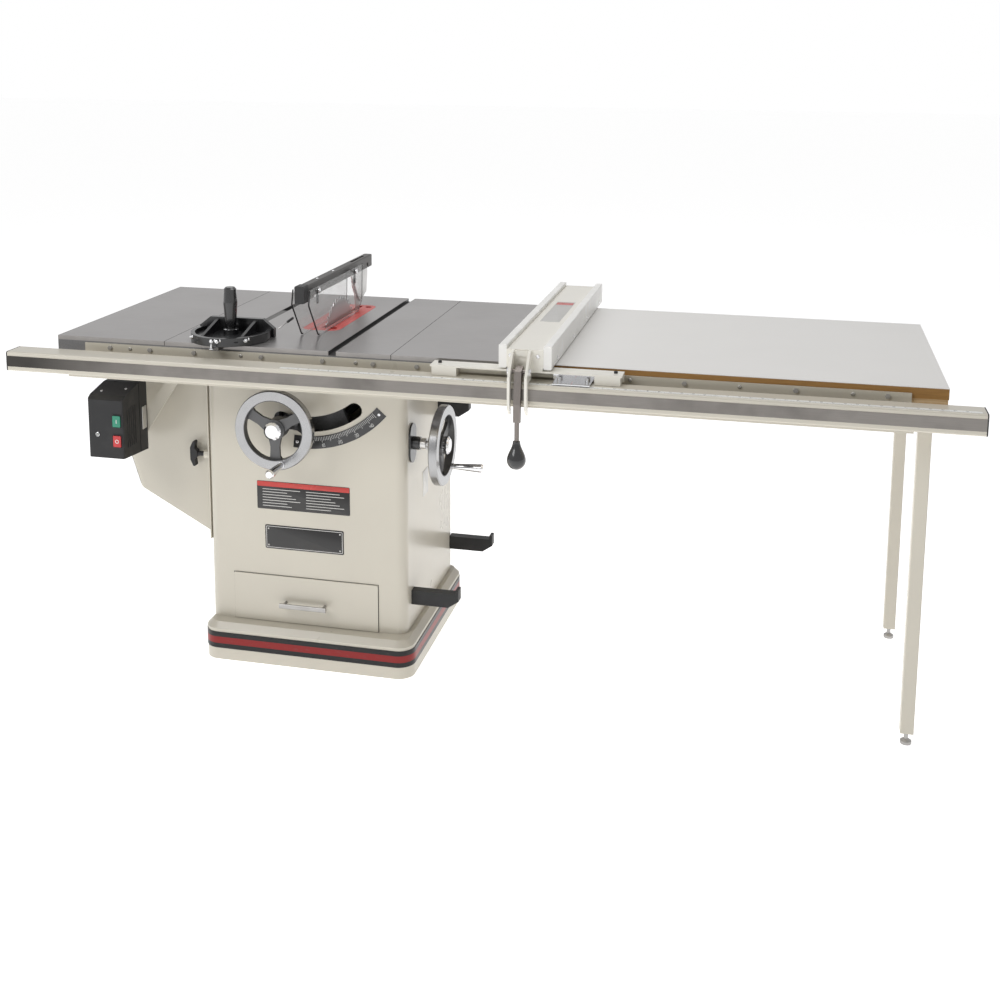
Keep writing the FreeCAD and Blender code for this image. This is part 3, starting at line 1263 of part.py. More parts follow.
def make_miter():
    centre = S["slot_left"]
    half = S["slot_width"] / 2 - 0.1
    pivot = 70
    bar = rounded("miter_rail", box("miter_rail_block", (centre - half, centre + half), (-28, 430),
                                    (TOP - S["slot_depth"] + 0.3, TOP - 0.3)), 1,
                  along("Y"))
    stud = rod("miter_stud", "Z", (centre, pivot, TOP - 2), 7, 30)
    finish("miter_bar", join("miter_bar_solid", [bar, stud]))

    low = TOP + 1
    disc = rod("miter_disc", "Z", (centre, pivot, low), 100, 12)
    keep = box("miter_keep", (centre - 110, centre + 110), (pivot - 110, pivot + 34),
               (low - 1, low + 50))
    half_disc = doc.addObject("Part::Common", "miter_half")
    half_disc.Base = disc
    half_disc.Tool = keep
    face = plate_y("miter_face", (pivot + 34, pivot + 48), [
        (centre - 102, low), (centre + 102, low), (centre + 102, low + 22),
        (centre + 72, low + 46), (centre - 72, low + 46), (centre - 102, low + 22)])
    rim = cut("miter_rim", rod("miter_rim_outer", "Z", (centre, pivot, low + 11), 100, 10),
              [rod("miter_rim_inner", "Z", (centre, pivot, low + 10), 90, 14),
               box("miter_rim_back", (centre - 120, centre + 120), (pivot + 34, pivot + 120),
                   (low, low + 40))])
    boss = rod("miter_boss", "Z", (centre, pivot, low + 11), 19, 12)
    ribs = [plate_x(f"miter_rib_{index}", (x, x + 8), [
        (pivot - 92, low + 11), (pivot + 36, low + 11), (pivot + 36, low + 42),
        (pivot - 60, low + 16)])
        for index, x in enumerate((centre - 56, centre + 48))]
    whole = join("miter_whole", [half_disc, face, rim, boss, *ribs])
    bore = rod("miter_bore", "Z", (centre, pivot, low - 2), 7.06, 40)
    finish("miter_head", cut("miter_head_solid", whole, [bore]))

    base = low + 24
    grip = rod("grip_core", "Z", (centre, pivot, base), 13, 108)
    lower = taper("grip_lower", "Z", (centre, pivot, base), 13, 18, 70)
    upper = taper("grip_upper", "Z", (centre, pivot, base + 70), 18, 16, 34)
    crown = taper("grip_crown", "Z", (centre, pivot, base + 104), 16, 11, 5)
    hollow = rod("grip_hollow", "Z", (centre, pivot, base - 2), 7.06, 12)
    finish("miter_grip", cut("miter_grip_solid", join("grip_whole", [grip, lower, upper, crown]),
                             [hollow]))


# ---------------------------------------------------------------- build, check and write

def check_objects():
    """Stop if anything in the document failed or has no valid solid."""
    for part in doc.Objects:
        if "Invalid" in part.State or "Error" in part.State:
            raise RuntimeError(f"{part.Name} is {part.State}")
    for part in finished:
        if part.Shape.isNull() or not part.Shape.isValid() or not part.Shape.Solids:
            raise RuntimeError(f"{part.Label} has no valid solid")


def check_frame():
    """The saw's box is centred on the origin in X and Y and stands on Z = 0."""
    whole = FreeCAD.BoundBox()
    for part in finished:
        whole.add(part.Shape.BoundBox)
    print("box", [round(value, 2) for value in (
        whole.XMin, whole.XMax, whole.YMin, whole.YMax, whole.ZMin, whole.ZMax)])
    if max(abs(whole.XMin + whole.XMax), abs(whole.YMin + whole.YMax), abs(whole.ZMin)) > 0.5:
        raise RuntimeError("the origin is off the middle of the base")


def main():
    make_plinth()
    make_cabinet()
    make_drawer_bay()
    make_drawer()
    make_dust_port()
    make_side_plate()
    make_tilt_scale()
    make_hooks()
    make_motor_cover()
    make_main_table()
    make_wings()
    make_insert()
    make_board()
    make_legs()
    make_rails()
    make_bolts()
    make_switch()
    make_handwheels()
    make_shafts()
    make_trunnions()
    make_cradle()
    make_arbor_bracket()
    make_motor()
    make_arbor()
    make_blade()
    make_belts()
    make_guard()
    make_fence()
    make_miter()
    doc.recompute()
    check_objects()
    check_frame()
    for part in finished:
        solids = len(part.Shape.Solids)
        print(f"{part.Label}: {solids} solid(s), {part.Shape.Volume / 1000:.1f} cm3")
        part.Shape.exportStep(os.path.join("parts", f"{part.Label}.step"))


main()
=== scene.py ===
"""Finishes, markings and small fittings for a left-tilting cabinet table saw."""

import math

import bmesh
import bpy
import numpy as np
from bpy.props import FloatProperty, FloatVectorProperty, IntProperty, PointerProperty
from mathutils import Matrix, Vector


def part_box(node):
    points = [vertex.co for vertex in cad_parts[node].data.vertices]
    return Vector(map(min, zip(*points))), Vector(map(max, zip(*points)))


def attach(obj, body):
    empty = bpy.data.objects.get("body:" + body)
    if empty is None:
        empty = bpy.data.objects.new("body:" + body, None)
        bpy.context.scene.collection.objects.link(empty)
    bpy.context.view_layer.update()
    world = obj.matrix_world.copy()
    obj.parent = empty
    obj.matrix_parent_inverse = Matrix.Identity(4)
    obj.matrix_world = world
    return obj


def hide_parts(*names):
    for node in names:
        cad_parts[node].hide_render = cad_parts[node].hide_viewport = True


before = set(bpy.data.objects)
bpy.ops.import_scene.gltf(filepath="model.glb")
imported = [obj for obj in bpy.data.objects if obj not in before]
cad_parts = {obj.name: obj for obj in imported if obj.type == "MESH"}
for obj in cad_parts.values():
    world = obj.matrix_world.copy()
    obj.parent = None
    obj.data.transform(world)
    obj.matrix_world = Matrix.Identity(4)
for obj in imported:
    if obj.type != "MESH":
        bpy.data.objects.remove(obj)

bl_info = {
    "name": "Cabinet Table Saw",
    "version": (1, 0, 0),
    "blender": (4, 5, 0),
    "location": "View3D > Sidebar > Table Saw",
    "description": "Finishes and small fittings of a cabinet table saw",
    "category": "Object",
}

# The table's front left corner, from which sizes are counted in millimetres.
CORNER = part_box("left_wing")[0]
BLADE_X = 628.0
TILT_AXIS = (BLADE_X, 870.0)
MITER_SLOTS = (447, 743)
CASTING_SEAMS = (297, 893, 1190)
# Plane of the dark bars that paint the shade in the gap round the drawer's front.
GAP_SHADE_PLANE = 104.7  # in the gap between the cabinet and the drawer's front
CAMERA_PLACE = (0.72887, -3.21736, 1.61452)
CAMERA_YAW, CAMERA_PITCH, CAMERA_ROLL = 0.219564, -0.160302, 0.006344
CAMERA_SHIFT = -0.248
RIGHT, BACK, UP = (1, 0, 0), (0, 1, 0), (0, 0, 1)


def at(x, y, z):
    """A point counted in millimetres from the table's front left corner and the floor."""
    return np.array([CORNER[0] + x / 1000, CORNER[1] + y / 1000, z / 1000])


# ---------------------------------------------------------------- settings

def colour(name, text, default):
    """A colour setting."""
    return FloatVectorProperty(name=name, description=text, subtype="COLOR", size=3,
                               min=0.0, max=1.0, default=default)


def length(name, text, default):
    """A length setting in metres."""
    return FloatProperty(name=name, description=text, default=default, min=0.0,
                         unit="LENGTH", subtype="DISTANCE")


class SawColours(bpy.types.PropertyGroup):
    """Colours of the painted, moulded and bare surfaces."""
    cream: colour("Cream enamel", "Cabinet, rail, legs and fence", (0.66, 0.62, 0.53))
    iron: colour("Ground iron", "Top of the table and wings", (0.40, 0.385, 0.38))
    casting: colour("Casting", "Sides and underside of the castings", (0.16, 0.16, 0.165))
    board: colour("Laminate", "Top of the extension table", (0.88, 0.865, 0.84))
    board_edge: colour("Board edge", "Fibreboard edge of the extension", (0.36, 0.19, 0.055))
    band_red: colour("Red band", "Middle stripe of the plinth", (0.28, 0.012, 0.012))
    insert: colour("Throat insert", "Red plate around the blade", (0.72, 0.055, 0.04))
    black: colour("Black", "Black paint and plastic", (0.012, 0.012, 0.013))
    face: colour("Fence face", "White plastic of the fence faces", (0.96, 0.95, 0.92))
    start: colour("Start key", "Green push button", (0.004, 0.24, 0.14))
    stop: colour("Stop key", "Red push button", (0.55, 0.012, 0.016))


class SawMarks(bpy.types.PropertyGroup):
    """Sizes of the scales, plates and screws."""
    tape_width: length("Tape width", "Width of the measuring tape on the rail", 0.013)
    inch: length("Tape step", "Distance between two numbers of the tape", 0.0254)
    mark: length("Mark height", "How far printed marks stand off their plate", 0.00015)
    plate: length("Plate thickness", "Thickness of the metal plates", 0.0009)
    screw: length("Screw radius", "Radius of a pan-head screw", 0.0042)
    teeth: IntProperty(name="Teeth", description="Number of carbide tips on the blade",
                       default=40, min=8, max=120)


class StageSettings(bpy.types.PropertyGroup):
    """The floor, the lights and the camera."""
    floor: colour("Floor", "Pale floor", (0.93, 0.93, 0.93))
    sky: FloatProperty(name="Sky", description="Strength of the even white surround",
                       default=1.0, min=0.0)
    shade: FloatProperty(name="Shade", description="Part of the surround that matt surfaces lose",
                         default=0.85, min=0.0, max=1.0)
    mirror: FloatProperty(name="Mirror", description="Part of the surround lost in reflections",
                          default=0.3, min=0.0, max=1.0)
    glow: FloatProperty(name="Floor glow", description="Light from below a white paper floor",
                        default=0.88, min=0.0)
    key: FloatProperty(name="Key light", description="Power of the large soft light",
                       default=80.0, min=0.0, unit="POWER")
    lens: FloatProperty(name="Lens", description="Focal length on a 36 mm sensor",
                        default=46.294, min=1.0, unit="CAMERA")


# ---------------------------------------------------------------- materials

def feed(socket, item):
    """Link a wrapped socket, or set a plain value."""
    if isinstance(item, Field):
        socket.id_data.links.new(item.socket, socket)
    elif socket.type == "RGBA" and len(item) == 3:
        socket.default_value = (*item, 1.0)
    else:
        socket.default_value = item


class Field:
    """One output socket; arithmetic on it adds Math nodes."""

    def __init__(self, socket):
        self.socket = socket

    def math(self, operation, first, second=0.0, clamp=False):
        node = self.socket.id_data.nodes.new("ShaderNodeMath")
        node.operation = operation
        node.use_clamp = clamp
        feed(node.inputs[0], first)
        feed(node.inputs[1], second)
        return Field(node.outputs[0])

    def __add__(self, other):
        return self.math("ADD", self, other)

    def __sub__(self, other):
        return self.math("SUBTRACT", self, other)

    def __rsub__(self, other):
        return self.math("SUBTRACT", other, self)

    def __mul__(self, other):
        return self.math("MULTIPLY", self, other)

    def __truediv__(self, other):
        return self.math("DIVIDE", self, other)

    def __pow__(self, other):
        return self.math("POWER", self, other)

    def __abs__(self):
        return self.math("ABSOLUTE", self)

    def __gt__(self, other):
        return self.math("GREATER_THAN", self, other)

    def __lt__(self, other):
        return self.math("LESS_THAN", self, other)

    def __mod__(self, other):
        return self.math("FLOORED_MODULO", self, other)

    __radd__ = __add__
    __rmul__ = __mul__

    def clipped(self):
        """The value held between 0 and 1."""
        return self.math("ADD", self, 0.0, clamp=True)

    def either(self, other):
        return self.math("MAXIMUM", self, other)


class Finish:
    """One material: a Principled shader and the nodes that feed it."""

    def __init__(self, name, **uniform):
        self.material = bpy.data.materials.new(name)
        self.material.use_nodes = True
        self.tree = self.material.node_tree
        self.shader = self.tree.nodes["Principled BSDF"]
        for key, item in uniform.items():
            feed(self.shader.inputs[key.replace("_", " ")], item)
        place = self.add("ShaderNodeTexCoord")
        self.place = Field(place.outputs["Object"])
        self.facing = Field(place.outputs["Normal"])

    def add(self, kind, settings=None, sockets=None):
        """Any node, from its settings and then the values or links of its sockets."""
        node = self.tree.nodes.new(kind)
        for key, item in (settings or {}).items():
            if key == "stops":
                ramp = node.color_ramp
                while len(ramp.elements) < len(item):
                    ramp.elements.new(0.5)
                for element, (position, shade) in zip(ramp.elements, item):
                    element.position = position
                    element.color = (*shade, 1.0)
            else:
                setattr(node, key, item)
        for key, item in (sockets or {}).items():
            feed(node.inputs[key], item)
        return node

    def axes(self, vector=None):
        """X, Y and Z of the object position, or of another vector."""
        node = self.add("ShaderNodeSeparateXYZ", None, {0: vector or self.place})
        return [Field(output) for output in node.outputs]

    def noise(self, scale, detail=3.0, stretch=(1, 1, 1), turn=(0, 0, 0)):
        """Cloudy noise; a long stretch along one axis makes streaks."""
        spot = self.add("ShaderNodeMapping", None,
                        {"Vector": self.place, "Scale": stretch, "Rotation": turn})
        node = self.add("ShaderNodeTexNoise", None,
                        {"Vector": Field(spot.outputs[0]), "Scale": scale, "Detail": detail})
        return Field(node.outputs[0])

    def cells(self, scale):
        """Distance to the nearest of scattered points."""
        node = self.add("ShaderNodeTexVoronoi", None, {"Vector": self.place, "Scale": scale})
        return Field(node.outputs["Distance"])

    def band(self, field, low, high):
        """0 below low, 1 above high, a straight slope between."""
        node = self.add("ShaderNodeMapRange", None, {
            "Value": field, "From Min": low, "From Max": high})
        return Field(node.outputs[0])

    def blend(self, factor, first, second):
        """A colour between two."""
        node = self.add("ShaderNodeMix", {"data_type": "RGBA"},
                        {0: factor, 6: first, 7: second})
        return Field(node.outputs[2])

    def bump(self, height, distance, strength=1.0):
        """A surface normal from a height; distance is in metres."""
        node = self.add("ShaderNodeBump", None, {
            "Height": height, "Distance": distance, "Strength": strength})
        return Field(node.outputs[0])

    def drive(self, **inputs):
        """Feed the shader and give back the material."""
        for key, item in inputs.items():
            feed(self.shader.inputs[key.replace("_", " ")], item)
        return self.material


def shade(tone, factor):
    """A colour made lighter or darker."""
    return tuple(min(1.0, part * factor) for part in tone)


def enamel(name, tone, rough=0.3, coat=0.25, peel=0.000035):
    """Baked enamel: orange peel, faint clouding, and dust lying in scattered freckles."""
    paint = Finish(name, Coat_Weight=coat, Coat_Roughness=0.16, IOR=1.5)
    cloud = paint.noise(3.5, 4.0)
    freckle = paint.band(paint.cells(95), 0.035, 0.0)
    rub = paint.band(paint.noise(22, 6.0, (1, 1, 0.25)), 0.58, 0.8)
    base = paint.blend(cloud, shade(tone, 0.93), shade(tone, 1.05))
    base = paint.blend(freckle * 0.35, base, shade(tone, 0.55))
    grain = paint.noise(620, 2.0)
    return paint.drive(Base_Color=base, Roughness=rough - 0.06 + cloud * 0.1 + rub * 0.1,
                       Normal=paint.bump(grain, peel))


def ground_iron(tones):
    """Ground cast iron on top, with grinding lines, stains and seams, and painted shade in the
    miter slots; rough casting below.
    """
    metal = Finish("ground_iron", IOR=1.9)
    x, _, z = metal.axes()
    top = metal.band(z, 0.8682, 0.8692)
    machined = metal.band(z, 0.8585, 0.8600)
    lines = metal.noise(24, 5.0, (0.9, 38, 1), (0, 0, 0.015))
    fine = metal.noise(60, 3.0, (0.7, 30, 1), (0, 0, -0.01))
    stain = metal.noise(5, 6.0)
    spots = metal.band(metal.cells(42), 0.05, 0.0) * metal.band(stain, 0.5, 0.7)
    bright = metal.blend(lines, shade(tones.iron, 0.84), shade(tones.iron, 1.16))
    bright = metal.blend(metal.band(stain, 0.45, 0.75) * 0.25, bright, shade(tones.iron, 0.72))
    bright = metal.blend(spots * 0.4, bright, (0.16, 0.10, 0.06))
    seams = [abs(x - float(at(seam, 0, 0)[0])) for seam in CASTING_SEAMS]
    seam = (seams[0] < 0.0009).either(seams[1] < 0.0009).either(seams[2] < 0.0009)
    bright = metal.blend(seam * 0.85, bright, (0.03, 0.03, 0.03))
    # Painted shade: the miter slots' insides, below the ground top, are darkened nearly to black.
    slots = [abs(x - float(at(slot, 0, 0)[0])) < 0.0098 for slot in MITER_SLOTS]
    bright = metal.blend(slots[0].either(slots[1]) * (z < 0.8692) * 0.9, bright,
                         (0.02, 0.02, 0.02))
    sand = metal.noise(260, 5.0)
    raw = metal.blend(sand, shade(tones.casting, 0.7), shade(tones.casting, 1.3))
    height = sand * (1 - machined) + (lines + fine) * 0.05 * top
    return metal.drive(
        Base_Color=metal.blend(machined, raw, bright), Metallic=machined * 0.86,
        Roughness=0.62 - machined * 0.40 + stain * 0.12 + fine * 0.08 + seam * 0.4,
        Normal=metal.bump(height, 0.00025))


def rough_casting(tones):
    """Unmachined grey iron with a sandy skin and oily patches."""
    metal = Finish("rough_casting", IOR=1.7)
    sand = metal.noise(210, 6.0)
    oil = metal.noise(14, 4.0)
    base = metal.blend(sand, shade(tones.casting, 0.75), shade(tones.casting, 1.5))
    return metal.drive(Base_Color=base, Metallic=0.35 + sand * 0.1,
                       Roughness=0.72 - metal.band(oil, 0.5, 0.7) * 0.28,
                       Normal=metal.bump(sand, 0.0004))


def laminate(tones):
    """Melamine with a fine pebble on top and fibreboard showing at the front and back edges."""
    board = Finish("laminate", IOR=1.5)
    _, y, z = board.axes()
    front, back = (float(at(0, depth, 0)[1]) for depth in (1.6, 684.4))
    edge = (y < front).either(y > back) * (z < 0.8686)
    cloud = board.noise(4, 4.0)
    pebble = board.noise(900, 2.0)
    fibre = board.noise(48, 6.0, (0.35, 1, 6))
    scuff = board.band(board.noise(30, 6.0, (0.3, 3, 1), (0, 0, 0.4)), 0.62, 0.8)
    top = board.blend(cloud, shade(tones.board, 0.97), shade(tones.board, 1.03))
    top = board.blend(scuff * 0.12, top, shade(tones.board, 0.8))
    core = board.blend(fibre, shade(tones.board_edge, 0.7), shade(tones.board_edge, 1.35))
    return board.drive(Base_Color=board.blend(edge, top, core),
                       Roughness=0.34 + edge * 0.32 + scuff * 0.12,
                       Normal=board.bump(pebble * 0.25 + fibre * edge, 0.00012))


def timber():
    """Pale softwood with straight grain and darker late-wood lines."""
    wood = Finish("frame_timber", IOR=1.5)
    _, y, z = wood.axes()
    warp = wood.noise(7, 4.0, (0.25, 2, 2))
    rings = (y * 160 + z * 120 + warp * 9) % 1.0
    line = wood.band(abs(rings - 0.5), 0.5, 0.1)
    pores = wood.noise(190, 4.0, (0.08, 1, 1))
    base = wood.blend(line, (0.50, 0.33, 0.17), (0.66, 0.49, 0.29))
    base = wood.blend(pores * 0.4, base, (0.36, 0.22, 0.10))
    return wood.drive(Base_Color=base, Roughness=0.5 + pores * 0.2,
                      Normal=wood.bump(pores + line * 0.3, 0.0002))


def brushed(name, tone, axis, rough=0.3, stain=0.4, painted_dark_end=None):
    """Bare steel brushed along one axis, with handling marks and perhaps one end darkened with
    painted shade.
    """
    metal = Finish(name, Metallic=1.0, IOR=2.2)
    stretch = {"X": (0.6, 30, 30), "Y": (30, 0.6, 30), "Z": (30, 30, 0.6)}[axis]
    lines = metal.noise(26, 4.0, stretch)
    patch = metal.noise(9, 5.0)
    touch = metal.band(patch, 0.48, 0.72)
    base = metal.blend(lines, shade(tone, 0.82), shade(tone, 1.15))
    base = metal.blend(touch * stain, base, shade(tone, 0.62))
    if painted_dark_end:
        # Painted shade: the steel darkens towards one end along x.
        base = metal.blend(metal.band(metal.axes()[0], *painted_dark_end) * 0.85, base, shade(tone, 0.14))
    return metal.drive(Base_Color=base, Roughness=rough + lines * 0.12 + touch * 0.14,
                       Normal=metal.bump(lines, 0.00006))


def plated(name="bright_plate", tone=(0.74, 0.74, 0.75)):
    """Polished plating with faint smears and pits."""
    metal = Finish(name, Metallic=1.0, IOR=2.6)
    smear = metal.noise(26, 5.0, (1, 1, 0.3))
    pits = metal.band(metal.cells(420), 0.06, 0.0)
    base = metal.blend(smear, shade(tone, 0.93), shade(tone, 1.08))
    return metal.drive(Base_Color=base, Roughness=0.07 + smear * 0.12 + pits * 0.2,
                       Normal=metal.bump(1 - pits, 0.00003))


def moulded(name, tone, rough=0.42, grain=0.00008, gloss=0.0):
    """Moulded plastic: a fine spark-eroded skin and worn, shinier patches."""
    plastic = Finish(name, IOR=1.48, Coat_Weight=gloss, Coat_Roughness=0.08)
    skin = plastic.noise(1300, 2.0)
    wear = plastic.band(plastic.noise(16, 5.0), 0.5, 0.75)
    base = plastic.blend(wear, tone, tuple(part * 1.15 + 0.006 for part in tone))
    return plastic.drive(Base_Color=base, Roughness=rough - wear * 0.1 + skin * 0.06,
                         Normal=plastic.bump(skin, grain))


def striped_bands(tones):
    """Black, red and black vinyl stripes, told apart by height."""
    tape = Finish("plinth_stripes", Specular_IOR_Level=0.25, Coat_Weight=0.2,
                  Coat_Roughness=0.15)
    z = tape.axes()[2]
    red = (abs(z - 0.054) < 0.009)
    scuff = tape.band(tape.noise(60, 6.0, (1, 1, 4)), 0.6, 0.8)
    base = tape.blend(red, tones.black, tones.band_red)
    base = tape.blend(scuff * 0.35, base, (0.12, 0.10, 0.10))
    return tape.drive(Base_Color=base, Roughness=0.3 + scuff * 0.25,
                      Normal=tape.bump(tape.noise(300, 2.0), 0.00004))


def handwheel(name, node, across, tones):
    """A black casting whose rim is turned bright; the two are told apart by radius."""
    low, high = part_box(node)
    middle = (np.array(low) + np.array(high)) / 2
    metal = Finish(name, IOR=2.0)
    axes = metal.axes()
    first, second = (axes[index] - float(middle[index]) for index in across)
    radius = (first * first + second * second) ** 0.5
    rim = radius > 0.0788
    rings = radius.math("SINE", radius * 2600)
    cloud = metal.noise(30, 5.0)
    sand = metal.noise(500, 4.0)
    black = metal.blend(sand, tones.black, shade(tones.black, 2.2))
    bright = metal.blend(cloud, (0.33, 0.33, 0.335), (0.42, 0.42, 0.425))
    return metal.drive(Base_Color=metal.blend(rim, black, bright), Metallic=rim * 0.96,
                       Roughness=0.36 - rim * 0.18 + cloud * 0.12,
                       Normal=metal.bump(sand * (1 - rim) + rings * rim * 0.08, 0.00012))


def clear_sheet():
    """Clear polycarbonate: nearly invisible faces, dark cut edges and fine scratches."""
    sheet = Finish("clear_sheet", IOR=1.58, Coat_Weight=0.6, Coat_Roughness=0.04)
    side = abs(sheet.axes(sheet.facing)[0])
    edge = 1 - sheet.band(side, 0.35, 0.75)
    scratch = sheet.band(sheet.noise(55, 6.0, (1, 9, 0.8), (0.5, 0, 0)), 0.62, 0.7)
    dust = sheet.noise(140, 6.0)
    base = sheet.blend(edge, (0.80, 0.81, 0.80), (0.05, 0.05, 0.05))
    return sheet.drive(Base_Color=base, Roughness=0.08 + scratch * 0.3 + dust * 0.05,
                       Alpha=(0.17 + scratch * 0.12 + dust * 0.05 + edge * 0.6).clipped(),
                       Normal=sheet.bump(scratch, 0.00004))


def guard_paint(tones):
    """Grey pressed-steel arm with a black moulded nose."""
    arm = Finish("guard_arm_paint", IOR=1.6)
    y = arm.axes()[1]
    nose = y < float(at(0, 114.3, 0)[1])
    lines = arm.noise(30, 4.0, (10, 0.6, 10))
    grey = arm.blend(lines, (0.07, 0.067, 0.065), (0.12, 0.115, 0.11))
    return arm.drive(Base_Color=arm.blend(nose, grey, tones.black), Metallic=0.75 - nose * 0.75,
                     Roughness=0.36 + lines * 0.12 + nose * 0.1,
                     Normal=arm.bump(lines, 0.00006))


def saw_steel():
    """Blade plate ground in rings about the arbor."""
    metal = Finish("blade_plate", Metallic=1.0, IOR=2.4)
    _, y, z = metal.axes()
    centre = at(0, 375, 803)
    first, second = y - float(centre[1]), z - float(centre[2])
    radius = (first * first + second * second) ** 0.5
    rings = radius.math("SINE", radius * 4200)
    cloud = metal.noise(18, 5.0)
    base = metal.blend(cloud, (0.50, 0.50, 0.51), (0.66, 0.66, 0.67))
    return metal.drive(Base_Color=base, Roughness=0.24 + cloud * 0.16,
                       Normal=metal.bump(rings, 0.00003, 0.5))


# ---------------------------------------------------------------- shapes

def loft(loops):
    """Join rings of points, one after another, and close both ends.

    loops has the shape (rings, points, 3).  Point j of ring i meets point j of ring i + 1, and
    the first and last rings each become one face.
    """
    rings, points, _ = loops.shape
    index = np.arange(rings * points).reshape(rings, points)
    following = np.roll(index, -1, axis=1)
    quads = np.stack([index[:-1], following[:-1], following[1:], index[1:]], axis=-1)
    faces = quads.reshape(-1, 4).tolist()
    faces += [index[0][::-1].tolist(), index[-1].tolist()]
    return loops.reshape(-1, 3), faces


def circle(count, turn=0.0):
    """Points (cos a, sin a) at equal steps of the angle a."""
    angle = np.linspace(0, 2 * np.pi, count, endpoint=False) + turn
    return np.stack([np.cos(angle), np.sin(angle)], axis=1)


def round_corners(wide, high, radius, steps=5):
    """A rectangle's outline; its corners are quarter circles about points set in by the radius."""
    angle = np.linspace(0, np.pi / 2, steps)
    arc = np.stack([np.cos(angle), np.sin(angle)], axis=1) * radius
    parts = []
    for quarter, (side, up) in enumerate(((1, 1), (-1, 1), (-1, -1), (1, -1))):
        turn = quarter * np.pi / 2
        spin = np.array([[np.cos(turn), np.sin(turn)], [-np.sin(turn), np.cos(turn)]])
        parts.append(arc @ spin + [side * (wide / 2 - radius), up * (high / 2 - radius)])
    return np.concatenate(parts)


def raised(origin, across, up, outline, stations):
    """Rings of one flat outline, each scaled and lifted along across x up.

    Each station is (scale, lift): the ring is origin + scale * outline + lift * normal.
    """
    across, up = np.array(across, float), np.array(up, float)
    normal = np.cross(across, up)
    scale, lift = np.array(stations, float).T
    flat = outline[:, :1] * across + outline[:, 1:] * up
    return loft(np.array(origin) + scale[:, None, None] * flat + lift[:, None, None] * normal)


def plate(origin, across, up, wide, high, radius, thick):
    """A thin plate with round corners and a small chamfer round its face."""
    edge = 1 - 0.6 * thick / min(wide, high)
    return raised(origin, across, up, round_corners(wide, high, radius),
                  [(1, 0), (1, thick * 0.6), (edge, thick)])


def screw_head(origin, across, up, radius, high, sides=20):
    """A domed head with a round socket, turned about the normal."""
    return raised(origin, across, up, circle(sides) * radius, [
        (1, 0), (1, high * 0.45), (0.9, high * 0.8), (0.72, high), (0.46, high),
        (0.42, high * 0.45), (0.05, high * 0.4)])


def rod_between(start, end, radius, sides=14):
    """A round rod: circles about a straight line, slightly tapered at both ends."""
    start, end = np.array(start, float), np.array(end, float)
    along = end - start
    reach = np.linalg.norm(along)
    along = along / reach
    helper = np.array([0, 0, 1.0]) if abs(along[2]) < 0.9 else np.array([1.0, 0, 0])
    across = np.cross(helper, along)
    across = across / np.linalg.norm(across)
    up = np.cross(along, across)
    tip = min(radius * 0.4, reach * 0.2)
    return raised(start, across, up, circle(sides) * radius,
                  [(0.7, 0), (1, tip), (1, reach - tip), (0.7, reach)])


BAR_SIGNS = np.array([[i, j, k] for i in (-1, 1) for j in (-1, 1) for k in (-1, 1)], float)
BAR_FACES = np.array([[0, 1, 3, 2], [4, 6, 7, 5], [0, 4, 5, 1], [2, 3, 7, 6],
                      [0, 2, 6, 4], [1, 5, 7, 3]])


def bars(centres, first, second, third):
    """Many small blocks at once: each corner is centre +- first +- second +- third."""
    centres = np.asarray(centres, float)
    halves = np.stack([np.broadcast_to(half, centres.shape)
                       for half in (first, second, third)], axis=1)
    points = centres[:, None, :] + np.einsum("sk,nkd->nsd", BAR_SIGNS, halves)
    faces = BAR_FACES[None] + 8 * np.arange(len(centres))[:, None, None]
    return points.reshape(-1, 3), faces.reshape(-1, 4).tolist()


# Strokes of each digit in a cell 1 wide and 2 high: middle x and y, half width and height.
STROKES = {
    "a": (0, 1, 0.5, 0.11), "b": (0.5, 0.5, 0.11, 0.5), "c": (0.5, -0.5, 0.11, 0.5),
    "d": (0, -1, 0.5, 0.11), "e": (-0.5, -0.5, 0.11, 0.5), "f": (-0.5, 0.5, 0.11, 0.5),
    "g": (0, 0, 0.5, 0.11),
}
DIGITS = ("abcdef", "bc", "abged", "abgcd", "fgbc", "afgcd", "afgedc", "abc", "abcdefg", "abcdfg")


def number(figure, origin, across, up, high, thick):
    """A number in plain strokes, centred on a point."""
    across, up = np.array(across, float), np.array(up, float)
    normal = np.cross(across, up)
    size = high / 2.2
    text = str(figure)
    centres, first, second = [], [], []
    for place, letter in enumerate(text):
        shift = (place - (len(text) - 1) / 2) * 1.6
        for stroke in DIGITS[int(letter)]:
            x, y, half_wide, half_high = STROKES[stroke]
            centres.append(origin + ((x + shift) * across + y * up) * size)
            first.append(across * half_wide * size)
            second.append(up * half_high * size)
    return bars(np.array(centres), np.array(first), np.array(second), normal * thick / 2)


def piece(name, body, material, parts, smooth=40.0):
    """Put surfaces into one mesh that rides on a body."""
    points, faces, base = [], [], 0
    for corner_points, corner_faces in parts:
        points.append(corner_points)
        faces += [[index + base for index in face] for face in corner_faces]
        base += len(corner_points)
    mesh = bpy.data.meshes.new(name)
    mesh.from_pydata(np.concatenate(points).tolist(), [], faces)
    work = bmesh.new()
    work.from_mesh(mesh)
    bmesh.ops.recalc_face_normals(work, faces=work.faces)
    work.to_mesh(mesh)
    work.free()
    mesh.shade_smooth()
    mesh.set_sharp_from_angle(angle=math.radians(smooth))
    mesh.materials.append(material)
    item = bpy.data.objects.new(name, mesh)
    bpy.context.scene.collection.objects.link(item)
    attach(item, body)
    return item


def finish_nodes(material, *names):
    """Give CAD nodes a material."""
    for name in names:
        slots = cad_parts[name].data.materials
        slots.clear()
        slots.append(material)


# ---------------------------------------------------------------- operators

